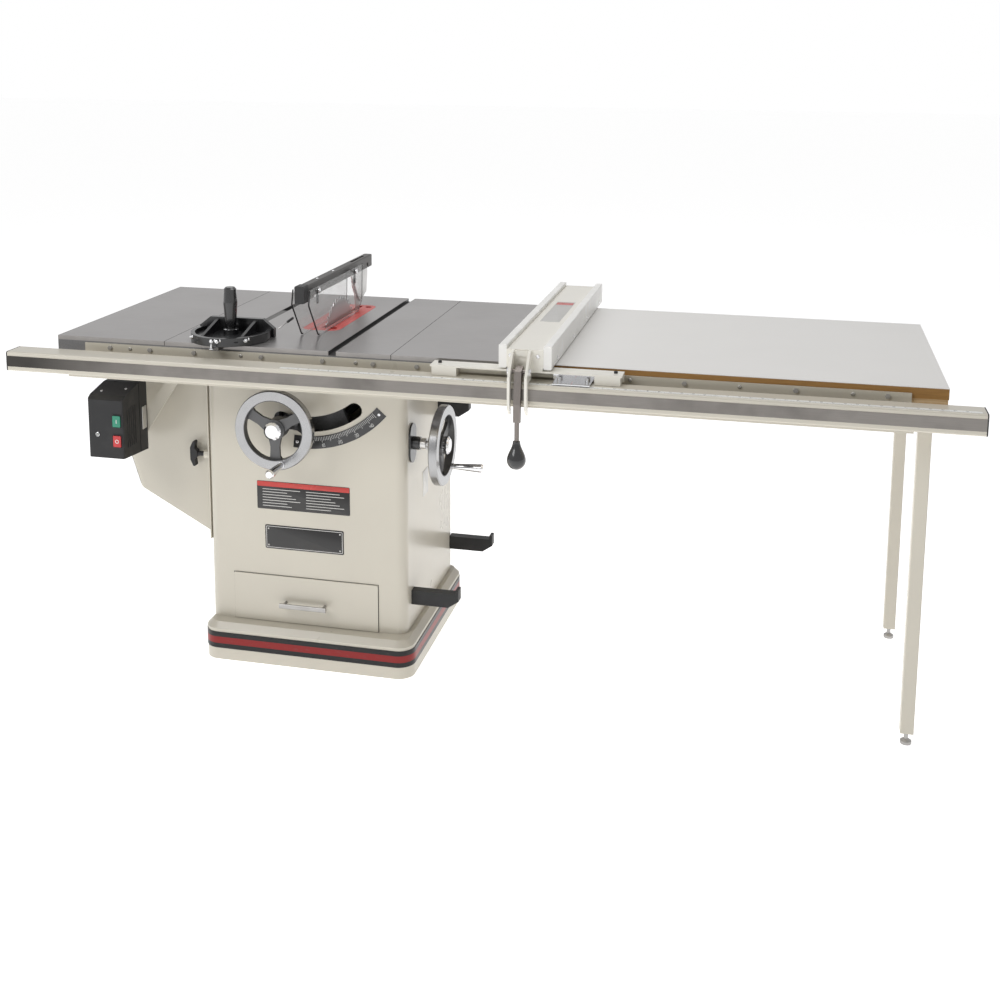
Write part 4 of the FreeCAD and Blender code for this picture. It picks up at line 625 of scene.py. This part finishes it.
class SAW_OT_finishes(bpy.types.Operator):
    """Paint, metal, board and plastic on every part of the saw"""
    bl_idname = "saw.finishes"
    bl_label = "Finishes"

    def execute(self, context):
        tones = context.scene.saw_colours
        finish_nodes(enamel("cream_enamel", tones.cream), "plinth", "cabinet", "drawer_bay",
                     "drawer", "motor_cover", "table_legs", "rail_angles", "front_rail",
                     "switch_bracket")
        finish_nodes(enamel("fence_enamel", (0.90, 0.87, 0.79)), "fence_body")
        finish_nodes(striped_bands(tones), "plinth_bands")
        finish_nodes(ground_iron(tones), "main_table", "left_wing", "right_wing")
        finish_nodes(rough_casting(tones), "trunnion_brackets", "trunnion_cradle",
                     "arbor_bracket")
        finish_nodes(laminate(tones), "extension_board")
        finish_nodes(timber(), "board_frame")
        # Painted shade: the rail strip darkens towards its left end.
        finish_nodes(brushed("rail_strip_steel", (0.24, 0.225, 0.21), "X", 0.34, 0.6,
                             (-0.78, -1.1)), "rail_wear_strip")
        finish_nodes(brushed("lever_steel", (0.24, 0.215, 0.20), "Z", 0.34), "fence_lever")
        finish_nodes(brushed("bright_steel", (0.60, 0.59, 0.58), "Y", 0.24), "splitter",
                     "raise_shaft", "tilt_shaft", "arbor", "arbor_nut", "kickback_pawls")
        # Dark tone of the miter bar: painted shade, matching the dark slot it runs in.
        finish_nodes(brushed("bar_steel", (0.16, 0.155, 0.15), "Y", 0.4), "miter_bar")
        finish_nodes(brushed("dull_steel", (0.42, 0.41, 0.40), "X", 0.36), "drawer_pull",
                     "front_leg_foot", "rear_leg_foot", "table_bolts", "motor_pulley")
        finish_nodes(plated(), "front_crank", "front_lock_knob", "side_crank",
                     "side_lock_knob", "fence_cursor")
        finish_nodes(handwheel("front_wheel_metal", "front_wheel", (0, 2), tones),
                     "front_wheel")
        finish_nodes(handwheel("side_wheel_metal", "side_wheel", (1, 2), tones), "side_wheel")
        finish_nodes(moulded("throat_red", tones.insert, 0.36, 0.00005, 0.25), "throat_insert")
        finish_nodes(moulded("black_plastic", tones.black, 0.46), "dust_port", "storage_hooks",
                     "cover_knob", "rail_end_caps", "switch_box")
        finish_nodes(moulded("gloss_black", shade(tones.black, 0.8), 0.2, 0.00002, 0.8),
                     "lever_knob", "miter_grip")
        finish_nodes(enamel("black_enamel", tones.black, 0.3, 0.5, 0.00006), "miter_head",
                     "side_shaft_plate", "tilt_scale")
        finish_nodes(moulded("fence_face_plastic", tones.face, 0.34, 0.00003), "fence_faces")
        finish_nodes(moulded("start_green", tones.start, 0.3, 0.00002, 0.5), "start_button")
        finish_nodes(moulded("stop_red", tones.stop, 0.3, 0.00002, 0.5), "stop_button")
        finish_nodes(moulded("belt_rubber", (0.015, 0.015, 0.015), 0.7, 0.00025),
                     "drive_belts")
        finish_nodes(enamel("motor_enamel", (0.035, 0.036, 0.04), 0.45, 0.1, 0.00015), "motor")
        finish_nodes(saw_steel(), "blade")
        finish_nodes(clear_sheet(), "left_guard_shield", "right_guard_shield")
        finish_nodes(guard_paint(tones), "guard_arm")
        return {"FINISHED"}


class SAW_OT_plates(bpy.types.Operator):
    """Blank metal plates on the cabinet, the switch and the fence"""
    bl_idname = "saw.plates"
    bl_label = "Plates"

    def execute(self, context):
        marks = context.scene.saw_marks
        tones = context.scene.saw_colours
        thick = marks.plate
        right, up = RIGHT, UP
        ink = moulded("plate_black", (0.014, 0.013, 0.013), 0.3, 0.00002, 0.3)
        silver = brushed("plate_silver", (0.62, 0.61, 0.59), "X", 0.3, 0.2)
        red = moulded("plate_red", (0.55, 0.03, 0.022), 0.3, 0.00002, 0.3)
        front = 104.95
        middle = at(620.5, front, 334.5)
        piece("name_plate", "stand", ink, [plate(middle, right, up, 0.217, 0.065, 0.004, thick)])
        frame_bars = bars(
            np.array([middle + [0, -thick, lift] for lift in (-0.0285, 0.0285)]
                     + [middle + [side, -thick, 0] for side in (-0.1045, 0.1045)]),
            np.array([[0.1045, 0, 0]] * 2 + [[0.0006, 0, 0]] * 2),
            np.array([[0, 0, 0.0006]] * 2 + [[0, 0, 0.0285]] * 2), (0, 0.0001, 0))
        rivets = [screw_head(middle + [side, -thick * 0.9, lift], right, up, 0.0022, 0.0011, 14)
                  for side in (-0.0985, 0.0985) for lift in (-0.0225, 0.0225)]
        piece("name_plate_frame", "stand", silver, [frame_bars, *rivets])

        middle = at(619.5, front, 448)
        piece("notice_plate", "stand", ink,
              [plate(middle, right, up, 0.255, 0.076, 0.003, thick)])
        piece("notice_plate_band", "stand", red,
              [plate(middle + [0, -thick * 0.9, 0.0305], right, up, 0.2535, 0.0135, 0.002,
                     0.0003)])
        rows = np.array([middle + [side, -thick, 0.0165 - 0.0075 * row]
                         for side in (-0.060, 0.060) for row in range(7)])
        reach = np.array([[0.052 - 0.006 * ((3 * row) % 4), 0, 0]
                          for row in range(14)])
        rows[:, 0] += reach[:, 0] - 0.052
        piece("notice_plate_rules", "stand", silver,
              [bars(rows, reach, (0, 0, 0.0007), (0, 0.0001, 0))])

        piece("side_plate_small", "stand", silver,
              [plate(at(896.05, 290, 452), (0, 1, 0), up, 0.048, 0.07, 0.003, thick)])
        piece("switch_side_plate", "stand", silver,
              [plate(at(204.05, 55, 650), (0, 1, 0), up, 0.022, 0.060, 0.002, thick)])

        top = at(1236.5, 250, 917.95)
        piece("fence_top_plate", "fence", silver,
              [plate(top + [0, 0.13, 0.0], RIGHT, BACK, 0.05, 0.26, 0.003, 0.0004)])
        piece("fence_top_stripe", "fence", red,
              [plate(top + [0, 0.235, 0.00035], RIGHT, BACK, 0.046, 0.03, 0.002,
                     0.0002)])
        return {"FINISHED"}


class SAW_OT_drawer_seal(bpy.types.Operator):
    """Thin dark bars around the drawer's overlapping front: painted shade for the shadow in its
    gap
    """
    bl_idname = "saw.drawer_seal"
    bl_label = "Drawer Gap Shade"

    def execute(self, context):
        # Painted shade: thin near-black bars stand in for the shadow in the gap round the drawer
        # front.
        gap_shade_paint = moulded("gap_shade_dark", (0.03, 0.03, 0.03), 0.6, 0.00004)
        lines = [bars(np.array([at(x, GAP_SHADE_PLANE, 164.8)]), (0.0007, 0, 0),
                      (0, 0.00025, 0), (0, 0, 0.0646)) for x in (422.2, 821.8)]
        lines += [bars(np.array([at(622, GAP_SHADE_PLANE, z)]), (0.2005, 0, 0),
                       (0, 0.00025, 0), (0, 0, 0.0004)) for z in (100.05, 228.7)]
        piece("drawer_seal", "stand", gap_shade_paint, lines)
        return {"FINISHED"}


class SAW_OT_tilt_marks(bpy.types.Operator):
    """Angle scale on the cabinet's front, its screws and the tilt pointer"""
    bl_idname = "saw.tilt_marks"
    bl_label = "Tilt Scale"

    def execute(self, context):
        marks = context.scene.saw_marks
        face = 103.8
        white = moulded("scale_white", (0.82, 0.82, 0.80), 0.4, 0.00001)
        degrees = np.arange(0, 46)
        angle = np.radians(degrees)
        outward = np.stack([np.sin(angle), 0 * angle, -np.cos(angle)], axis=1)
        around = np.stack([np.cos(angle), 0 * angle, np.sin(angle)], axis=1)
        long = np.where(degrees % 5 == 0, 0.0075, 0.0052)
        centre = at(TILT_AXIS[0], face, TILT_AXIS[1])
        middle = centre + outward * (0.2570 + long[:, None])
        ticks = bars(middle, outward * long[:, None], around * 0.00042,
                     (0, marks.mark, 0))
        figures = []
        for value in (0, 10, 20, 30, 40):
            turn = math.radians(value)
            out = np.array([math.sin(turn), 0, -math.cos(turn)])
            figures.append(number(value, centre + out * 0.2800,
                                  (math.cos(turn), 0, math.sin(turn)), -out, 0.0085,
                                  2 * marks.mark))
        piece("tilt_scale_marks", "stand", white, [ticks, *figures])
        screws = []
        for turn in (-4.5, 47.5):
            out = np.array([math.sin(math.radians(turn)), 0, -math.cos(math.radians(turn))])
            screws.append(screw_head(centre + out * 0.2715, RIGHT, UP,
                                     marks.screw, 0.0022))
        piece("tilt_scale_screws", "stand", plated("screw_plate"), screws)

        tones = context.scene.saw_colours
        black = enamel("pointer_black", tones.black, 0.32, 0.3, 0.00005)
        arm = np.array([[-0.026, 0.034], [0.012, 0.030], [0.016, 0.004], [0.010, -0.010],
                        [0.0012, -0.024], [-0.0012, -0.024], [-0.010, -0.010],
                        [-0.030, 0.002]])
        joint = at(BLADE_X, 101.6, 870 - 236)
        piece("tilt_pointer", "cradle", black, [
            raised(joint, RIGHT, UP, arm, [(1, 0), (1, 0.0022), (0.97, 0.0028)]),
            raised(at(592, 104, 652), RIGHT, UP, circle(28) * 0.0205,
                   [(1, 0), (1, 0.0052), (0.93, 0.006)])])
        piece("tilt_pointer_screws", "cradle", plated("pointer_screw_plate"), [
            screw_head(joint + [side, -0.0027, lift], RIGHT, UP, 0.0038, 0.0028)
            for side, lift in ((-0.006, 0.022), (-0.004, 0.004))])
        return {"FINISHED"}


class SAW_OT_rail_tape(bpy.types.Operator):
    """Measuring tape on the rail, its marks and its numbers"""
    bl_idname = "saw.rail_tape"
    bl_label = "Rail Tape"

    def execute(self, context):
        marks = context.scene.saw_marks
        start, end = 640.0, 2240.0
        across, up = RIGHT, BACK
        middle = at((start + end) / 2, -81, 843.02)
        wide = (end - start) / 1000
        tape = moulded("tape_white", (0.86, 0.86, 0.83), 0.35, 0.00001)
        piece("rail_tape", "stand", tape,
              [plate(middle, across, up, wide, marks.tape_width, 0.001, 0.00025)])
        count = int((end - BLADE_X - 20) / (marks.inch * 1000) * 8)
        step = np.arange(8, count)
        x = float(at(BLADE_X + 7, 0, 0)[0]) + step * marks.inch / 8
        high = np.where(step % 8 == 0, 0.0030, np.where(step % 4 == 0, 0.0020, 0.0012))
        front = middle[1] - marks.tape_width / 2 + 0.0006
        centres = np.stack([x, front + high, np.full(len(x), middle[2] + 0.00027)], axis=1)
        halves = np.zeros((len(x), 3))
        halves[:, 1] = high
        ink = moulded("tape_black", (0.015, 0.015, 0.016), 0.5, 0.00001)
        parts = [bars(centres, (0.00022, 0, 0), halves, (0, 0, 0.00004))]
        for value in range(1, count // 8 + 1):
            spot = np.array([float(at(BLADE_X + 7, 0, 0)[0]) + value * marks.inch,
                             middle[1] + 0.0031, middle[2] + 0.00027])
            parts.append(number(value, spot, across, up, 0.0046, 0.00008))
        piece("rail_tape_marks", "stand", ink, parts)

        screws = [screw_head(at(x, -5, 846), across, (0, 0, 1), 0.0048, 0.0028)
                  for x in (205, 505, 805, 1245, 1475, 1725, 1975)]
        piece("rail_angle_screws", "stand", brushed("rail_screw_steel", (0.42, 0.41, 0.38), "X"),
              screws)
        return {"FINISHED"}


class SAW_OT_switch_parts(bpy.types.Operator):
    """Lamp, lid screws, side ribs and key marks of the switch box"""
    bl_idname = "saw.switch_parts"
    bl_label = "Switch Details"

    def execute(self, context):
        tones = context.scene.saw_colours
        right, up = RIGHT, UP
        face = -54.95
        black = moulded("switch_rib_black", shade(tones.black, 1.2), 0.4)
        bright = plated("lamp_ring")
        piece("switch_lamp_ring", "stand", bright, [raised(
            at(133, face, 632), right, up, circle(24) * 0.0055,
            [(1, 0), (1, 0.0016), (0.82, 0.0022), (0.7, 0.0012)])])
        lens = moulded("lamp_lens", (0.34, 0.34, 0.33), 0.16, 0.00001, 0.8)
        piece("switch_lamp_lens", "stand", lens, [raised(
            at(133, face, 632), right, up, circle(24) * 0.0040,
            [(1, 0.0006), (1, 0.0014), (0.85, 0.0024), (0.5, 0.0031), (0.1, 0.0033)])])
        keys = [(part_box(name)[0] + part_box(name)[1]) / 2
                for name in ("start_button", "stop_button")]
        surrounds = []
        for middle in keys:
            outer = round_corners(0.0285, 0.0365, 0.004)
            surrounds.append(raised([middle[0], at(0, face, 0)[1], middle[2]], right, up, outer,
                                    [(1, 0), (1, 0.0012), (0.90, 0.0016), (0.80, 0.0001)]))
        piece("switch_key_surrounds", "stand", black, surrounds)
        ribs = bars(np.array([at(204, depth, 645) for depth in (-30, -20, -10, 0, 10)]),
                    (0.0009, 0, 0), (0, 0.0018, 0), (0, 0, 0.050))
        piece("switch_side_ribs", "stand", black, [ribs])
        slope = np.array([0, 70, 16]) / math.hypot(70, 16)
        piece("switch_screws", "stand", bright, [
            screw_head(at(x, y, 741.1 + y * 16 / 70), right, slope, 0.0036, 0.0018)
            for x, y in ((130, -22), (188, -4))])
        white = moulded("key_white", (0.8, 0.8, 0.78), 0.4, 0.00001)
        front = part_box("start_button")[0][1]
        piece("start_key_mark", "start_key", white, [bars(
            np.array([[keys[0][0], front - 0.00002, keys[0][2]]]),
            (0.0008, 0, 0), (0, 0.0001, 0), (0, 0, 0.005))])
        points, faces = raised([keys[1][0], front + 0.00002, keys[1][2]], right, up,
                               circle(28) * 0.005,
                               [(1, 0), (1, 0.0002), (0.7, 0.0002), (0.7, -0.0002)])
        piece("stop_key_mark", "stop_key", white, [(points, faces)])
        return {"FINISHED"}


class SAW_OT_miter_parts(bpy.types.Operator):
    """Protractor marks, stop screws and pointer of the miter gauge"""
    bl_idname = "saw.miter_parts"
    bl_label = "Miter Gauge Details"

    def execute(self, context):
        centre = at(447, 70, 881.02)
        white = moulded("protractor_white", (0.82, 0.82, 0.80), 0.4, 0.00001)
        degrees = np.arange(-90, 91, 5)
        angle = np.radians(degrees)
        outward = np.stack([np.sin(angle), -np.cos(angle), 0 * angle], axis=1)
        around = np.stack([np.cos(angle), np.sin(angle), 0 * angle], axis=1)
        long = np.where(degrees % 30 == 0, 0.0036, 0.0022)[:, None]
        keep = (outward[:, 1] * 0.0945 < 0.028)
        lift = np.array([0, 0, 0.0101])
        middle = centre + outward * (0.0985 - long) + lift
        ticks = bars(middle[keep], (outward * long)[keep], (around * 0.0004)[keep],
                     (0, 0, 0.0001))
        piece("miter_marks", "miter_swivel", white, [ticks])

        bright = plated("stop_screw_plate")
        stops = []
        for turn in (-48, -4, 4, 44):
            out = np.array([math.sin(math.radians(turn)), -math.cos(math.radians(turn)), 0])
            seat = centre + out * 0.0975 + [0, 0, 0.004]
            stops.append(rod_between(seat, seat + out * 0.010, 0.0028))
            side = np.array([-out[1], out[0], 0])
            stops.append(raised(seat + out * 0.0022, side, (0, 0, 1), circle(6) * 0.0054,
                                [(1, 0), (1, 0.004), (0.85, 0.0046)]))
            stops.append(rod_between(seat + out * 0.004 + side * 0.009 + [0, 0, -0.001],
                                     seat + out * 0.004 + side * 0.009 + [0, 0, 0.006],
                                     0.0022))
        piece("miter_stop_screws", "miter_swivel", bright, stops)
        stop = at(447, 70 - 112, 869.75)
        piece("miter_pointer", "miter_slide", bright, [
            plate(stop + [0, 0.002, 0], RIGHT, BACK, 0.011, 0.026, 0.003, 0.0012),
            rod_between(stop + [0, -0.006, 0], stop + [0, -0.006, 0.012], 0.0024)])
        ring = raised(at(447, 70, 894.6), RIGHT, BACK, circle(40) * 0.0185,
                      [(1, 0), (1, 0.0012), (0.86, 0.002)])
        piece("miter_grip_washer", "miter_handle", bright, [ring])
        return {"FINISHED"}


class SAW_OT_guard_parts(bpy.types.Operator):
    """Pin caps, edge trims, arm screws and the lift rod of the guard"""
    bl_idname = "saw.guard_parts"
    bl_label = "Guard Details"

    def execute(self, context):
        tones = context.scene.saw_colours
        bright = plated("guard_pin_plate")
        side, up = (0, 1, 0), (0, 0, 1)
        pins = []
        for x, sign in ((656.02, 1), (599.98, -1)):
            for y, z in ((150, 990), (440, 990)):
                pins.append(raised(at(x, y, z), (0, sign, 0), up, circle(22) * 0.0075,
                                   [(1, 0), (1, 0.0012), (0.88, 0.0019), (0.4, 0.0021)]))
        piece("guard_pin_caps", "guard", bright, pins)
        black = moulded("guard_trim_black", tones.black, 0.4)
        for body, x in (("left_shield", 605.5), ("right_shield", 650.5)):
            line = [at(x, y, z) for y, z in (
                (96.5, 998), (87.4, 962), (151, 873.6), (160, 872.9))]
            piece(f"{body}_edge_trim", body, black, [
                rod_between(start, end, 0.0019, 10) for start, end in zip(line[:-1], line[1:])])
        screws = [screw_head(at(628, y, 1009), RIGHT, BACK, 0.004, 0.0018)
                  for y in (210, 330)]
        piece("guard_arm_screws", "guard", bright, screws)
        hook = at(602.5, 98, 925)
        tip = at(597, 18, 915)
        piece("guard_lift_rod", "left_shield", brushed(
            "lift_rod_steel", (0.5, 0.49, 0.48), "Y", 0.25), [rod_between(hook, tip, 0.0014)])
        along = (tip - hook) / np.linalg.norm(tip - hook)
        piece("guard_lift_grip", "left_shield", black, [
            rod_between(hook - along * 0.003, hook + along * 0.03, 0.0032)])
        return {"FINISHED"}


class SAW_OT_blade_tips(bpy.types.Operator):
    """Carbide tips brazed to the blade's teeth"""
    bl_idname = "saw.blade_tips"
    bl_label = "Blade Tips"

    def execute(self, context):
        teeth = context.scene.saw_marks.teeth
        angle = np.linspace(0, 2 * np.pi, teeth, endpoint=False)
        out = np.stack([0 * angle, -np.sin(angle), np.cos(angle)], axis=1)
        around = np.stack([0 * angle, np.cos(angle), np.sin(angle)], axis=1)
        centre = at(BLADE_X, 375, 803)
        middle = centre + out * 0.1228 - around * 0.0012
        piece("blade_tips", "arbor_spindle", plated("carbide", (0.45, 0.44, 0.42)),
              [bars(middle, out * 0.0040, around * 0.0011, (0.0016, 0, 0))],
              20.0)
        return {"FINISHED"}


class SAW_OT_fence_parts(bpy.types.Operator):
    """Screws, adjusters, cursor line and lever knob of the rip fence"""
    bl_idname = "saw.fence_parts"
    bl_label = "Fence Details"

    def execute(self, context):
        tones = context.scene.saw_colours
        right, up = RIGHT, UP
        bright = plated("fence_screw_plate")
        piece("fence_end_screws", "fence", bright, [
            screw_head(at(x, -61, z), right, up, 0.0050, 0.0035)
            for x, z in ((1267, 903), (1203, 903))])
        pivots = [raised(at(x, -88, 872), (0, sign, 0), up, circle(6) * 0.0085,
                         [(1, 0), (1, 0.0045), (0.88, 0.0055)])
                  for x, sign in ((1252.05, 1), (1205.95, -1))]
        piece("lever_pivot_heads", "fence", bright, pivots)
        for hand, x, sign in (("left", 1173.95, -1), ("right", 1299.05, 1)):
            piece(f"face_screws_{hand}", "fence", bright, [
                screw_head(at(x, y, 884), (0, sign, 0), up, 0.0048, 0.0012)
                for y in (20, 250, 480, 700)])
        black = moulded("adjuster_black", tones.black, 0.4)
        piece("fence_adjusters", "fence", black, [
            raised(at(x, -34, 868), right, (0, 1, 0), circle(20) * 0.0045,
                   [(1, 0), (1, 0.004), (0.85, 0.005), (0.45, 0.005), (0.4, 0.002)])
            for x in (1026, 1445)])
        neck = np.linspace(0, 1, 14)
        bulge = np.linspace(0.1, 1.5, 12)
        stations = [(0.0070, 0.0), *zip(0.0086 + 0.0136 * (0.5 - 0.5 * np.cos(np.pi * neck)),
                                        -0.001 - 0.045 * neck),
                    *zip(0.0222 * np.cos(bulge), -0.046 - 0.0222 * np.sin(bulge))]
        knob = piece("lever_pear_knob", "lock_lever",
                     moulded("knob_black", shade(tones.black, 0.8), 0.2, 0.00002, 0.8),
                     [raised(at(1229, -112, 714), right, (0, 1, 0), circle(40), stations)])
        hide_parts("lever_knob")
        hair = moulded("cursor_line", (0.5, 0.01, 0.01), 0.3, 0.00001)
        piece("cursor_line", "fence", hair, [bars(
            np.array([at(1348.5, -70, 847.6)]), (0.00025, 0, 0), (0, 0.014, 0),
            (0, 0, 0.00008))])
        return {"FINISHED"}


class SAW_OT_stage(bpy.types.Operator):
    """Pale floor, soft lights and the camera"""
    bl_idname = "saw.stage"
    bl_label = "Stage"

    def execute(self, context):
        settings = context.scene.saw_stage
        scene = context.scene
        size = np.linspace(-30, 30, 5)
        grid = np.stack(np.meshgrid(size, size, indexing="ij"), axis=-1).reshape(-1, 2)
        points = np.column_stack([grid, np.zeros(len(grid))])
        index = np.arange(25).reshape(5, 5)
        faces = np.stack([index[:-1, :-1], index[1:, :-1], index[1:, 1:], index[:-1, 1:]],
                         axis=-1).reshape(-1, 4)
        mesh = bpy.data.meshes.new("floor")
        mesh.from_pydata(points.tolist(), [], faces.tolist())
        ground = Finish("floor_paper", Roughness=0.9, IOR=1.3, Emission_Color=settings.floor,
                        Emission_Strength=settings.glow)
        cloud = ground.noise(1.5, 2.0)
        mesh.materials.append(ground.drive(Base_Color=ground.blend(
            cloud, shade(settings.floor, 0.995), settings.floor)))
        floor = bpy.data.objects.new("floor", mesh)
        scene.collection.objects.link(floor)

        world = bpy.data.worlds.new("studio")
        world.use_nodes = True
        backdrop = world.node_tree.nodes["Background"]
        backdrop.inputs["Color"].default_value = (1.0, 1.0, 1.0, 1.0)
        path = world.node_tree.nodes.new("ShaderNodeLightPath")
        matt, gloss = (Field(path.outputs[f"Is {kind} Ray"]) for kind in ("Diffuse", "Glossy"))
        feed(backdrop.inputs["Strength"],
             settings.sky * (1 - matt * settings.shade - gloss * settings.mirror))
        scene.world = world
        scene.view_settings.view_transform = "Standard"

        lights = (("key", (-2.4, -3.2, 3.6), (2.4, 2.4), settings.key),
                  ("overhead", (0.2, 0.4, 4.2), (4.0, 2.0), settings.key * 0.8))
        for name, place, span, power in lights:
            lamp = bpy.data.lights.new(f"{name}_light", "AREA")
            lamp.shape = "RECTANGLE"
            lamp.size, lamp.size_y = span
            lamp.energy = power
            holder = bpy.data.objects.new(f"{name}_light", lamp)
            aim = Vector((0, 0, 0.6)) - Vector(place)
            holder.location = place
            holder.rotation_euler = aim.to_track_quat("-Z", "Y").to_euler()
            scene.collection.objects.link(holder)

        lens = bpy.data.cameras.new("camera")
        lens.sensor_width = 36.0
        lens.lens = settings.lens
        lens.shift_y = CAMERA_SHIFT
        camera = bpy.data.objects.new("camera", lens)
        yaw, pitch, roll = CAMERA_YAW, CAMERA_PITCH, CAMERA_ROLL
        forward = Vector((-math.sin(yaw) * math.cos(pitch), math.cos(yaw) * math.cos(pitch),
                          math.sin(pitch)))
        right = Vector((math.cos(yaw), math.sin(yaw), 0))
        up = right.cross(forward)
        side = right * math.cos(roll) + up * math.sin(roll)
        over = up * math.cos(roll) - right * math.sin(roll)
        turn = Matrix((side, over, -forward)).transposed()
        camera.matrix_world = Matrix.Translation(CAMERA_PLACE) @ turn.to_4x4()
        scene.collection.objects.link(camera)
        scene.camera = camera
        return {"FINISHED"}


OPERATORS = (SAW_OT_stage, SAW_OT_finishes, SAW_OT_plates, SAW_OT_drawer_seal,
             SAW_OT_tilt_marks, SAW_OT_rail_tape, SAW_OT_switch_parts, SAW_OT_miter_parts,
             SAW_OT_guard_parts, SAW_OT_blade_tips, SAW_OT_fence_parts)


class SAW_PT_panel(bpy.types.Panel):
    """Settings and steps of the table saw"""
    bl_idname = "SAW_PT_panel"
    bl_label = "Table Saw"
    bl_space_type = "VIEW_3D"
    bl_region_type = "UI"
    bl_category = "Table Saw"

    def draw(self, context):
        layout = self.layout
        for group_name in ("saw_colours", "saw_marks", "saw_stage"):
            group = getattr(context.scene, group_name)
            column = layout.column(align=True)
            for key in group.__annotations__:
                column.prop(group, key)
        for operator in OPERATORS:
            layout.operator(operator.bl_idname)


CLASSES = (SawColours, SawMarks, StageSettings, *OPERATORS, SAW_PT_panel)


def register():
    for item in CLASSES:
        bpy.utils.register_class(item)
    bpy.types.Scene.saw_colours = PointerProperty(type=SawColours)
    bpy.types.Scene.saw_marks = PointerProperty(type=SawMarks)
    bpy.types.Scene.saw_stage = PointerProperty(type=StageSettings)


def unregister():
    del bpy.types.Scene.saw_colours
    del bpy.types.Scene.saw_marks
    del bpy.types.Scene.saw_stage
    for item in reversed(CLASSES):
        bpy.utils.unregister_class(item)


def main():
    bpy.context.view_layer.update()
    register()
    bpy.ops.saw.stage()
    bpy.ops.saw.finishes()
    bpy.ops.saw.plates()
    bpy.ops.saw.drawer_seal()
    bpy.ops.saw.tilt_marks()
    bpy.ops.saw.rail_tape()
    bpy.ops.saw.switch_parts()
    bpy.ops.saw.miter_parts()
    bpy.ops.saw.guard_parts()
    bpy.ops.saw.blade_tips()
    bpy.ops.saw.fence_parts()


if __name__ == "__main__":
    main()
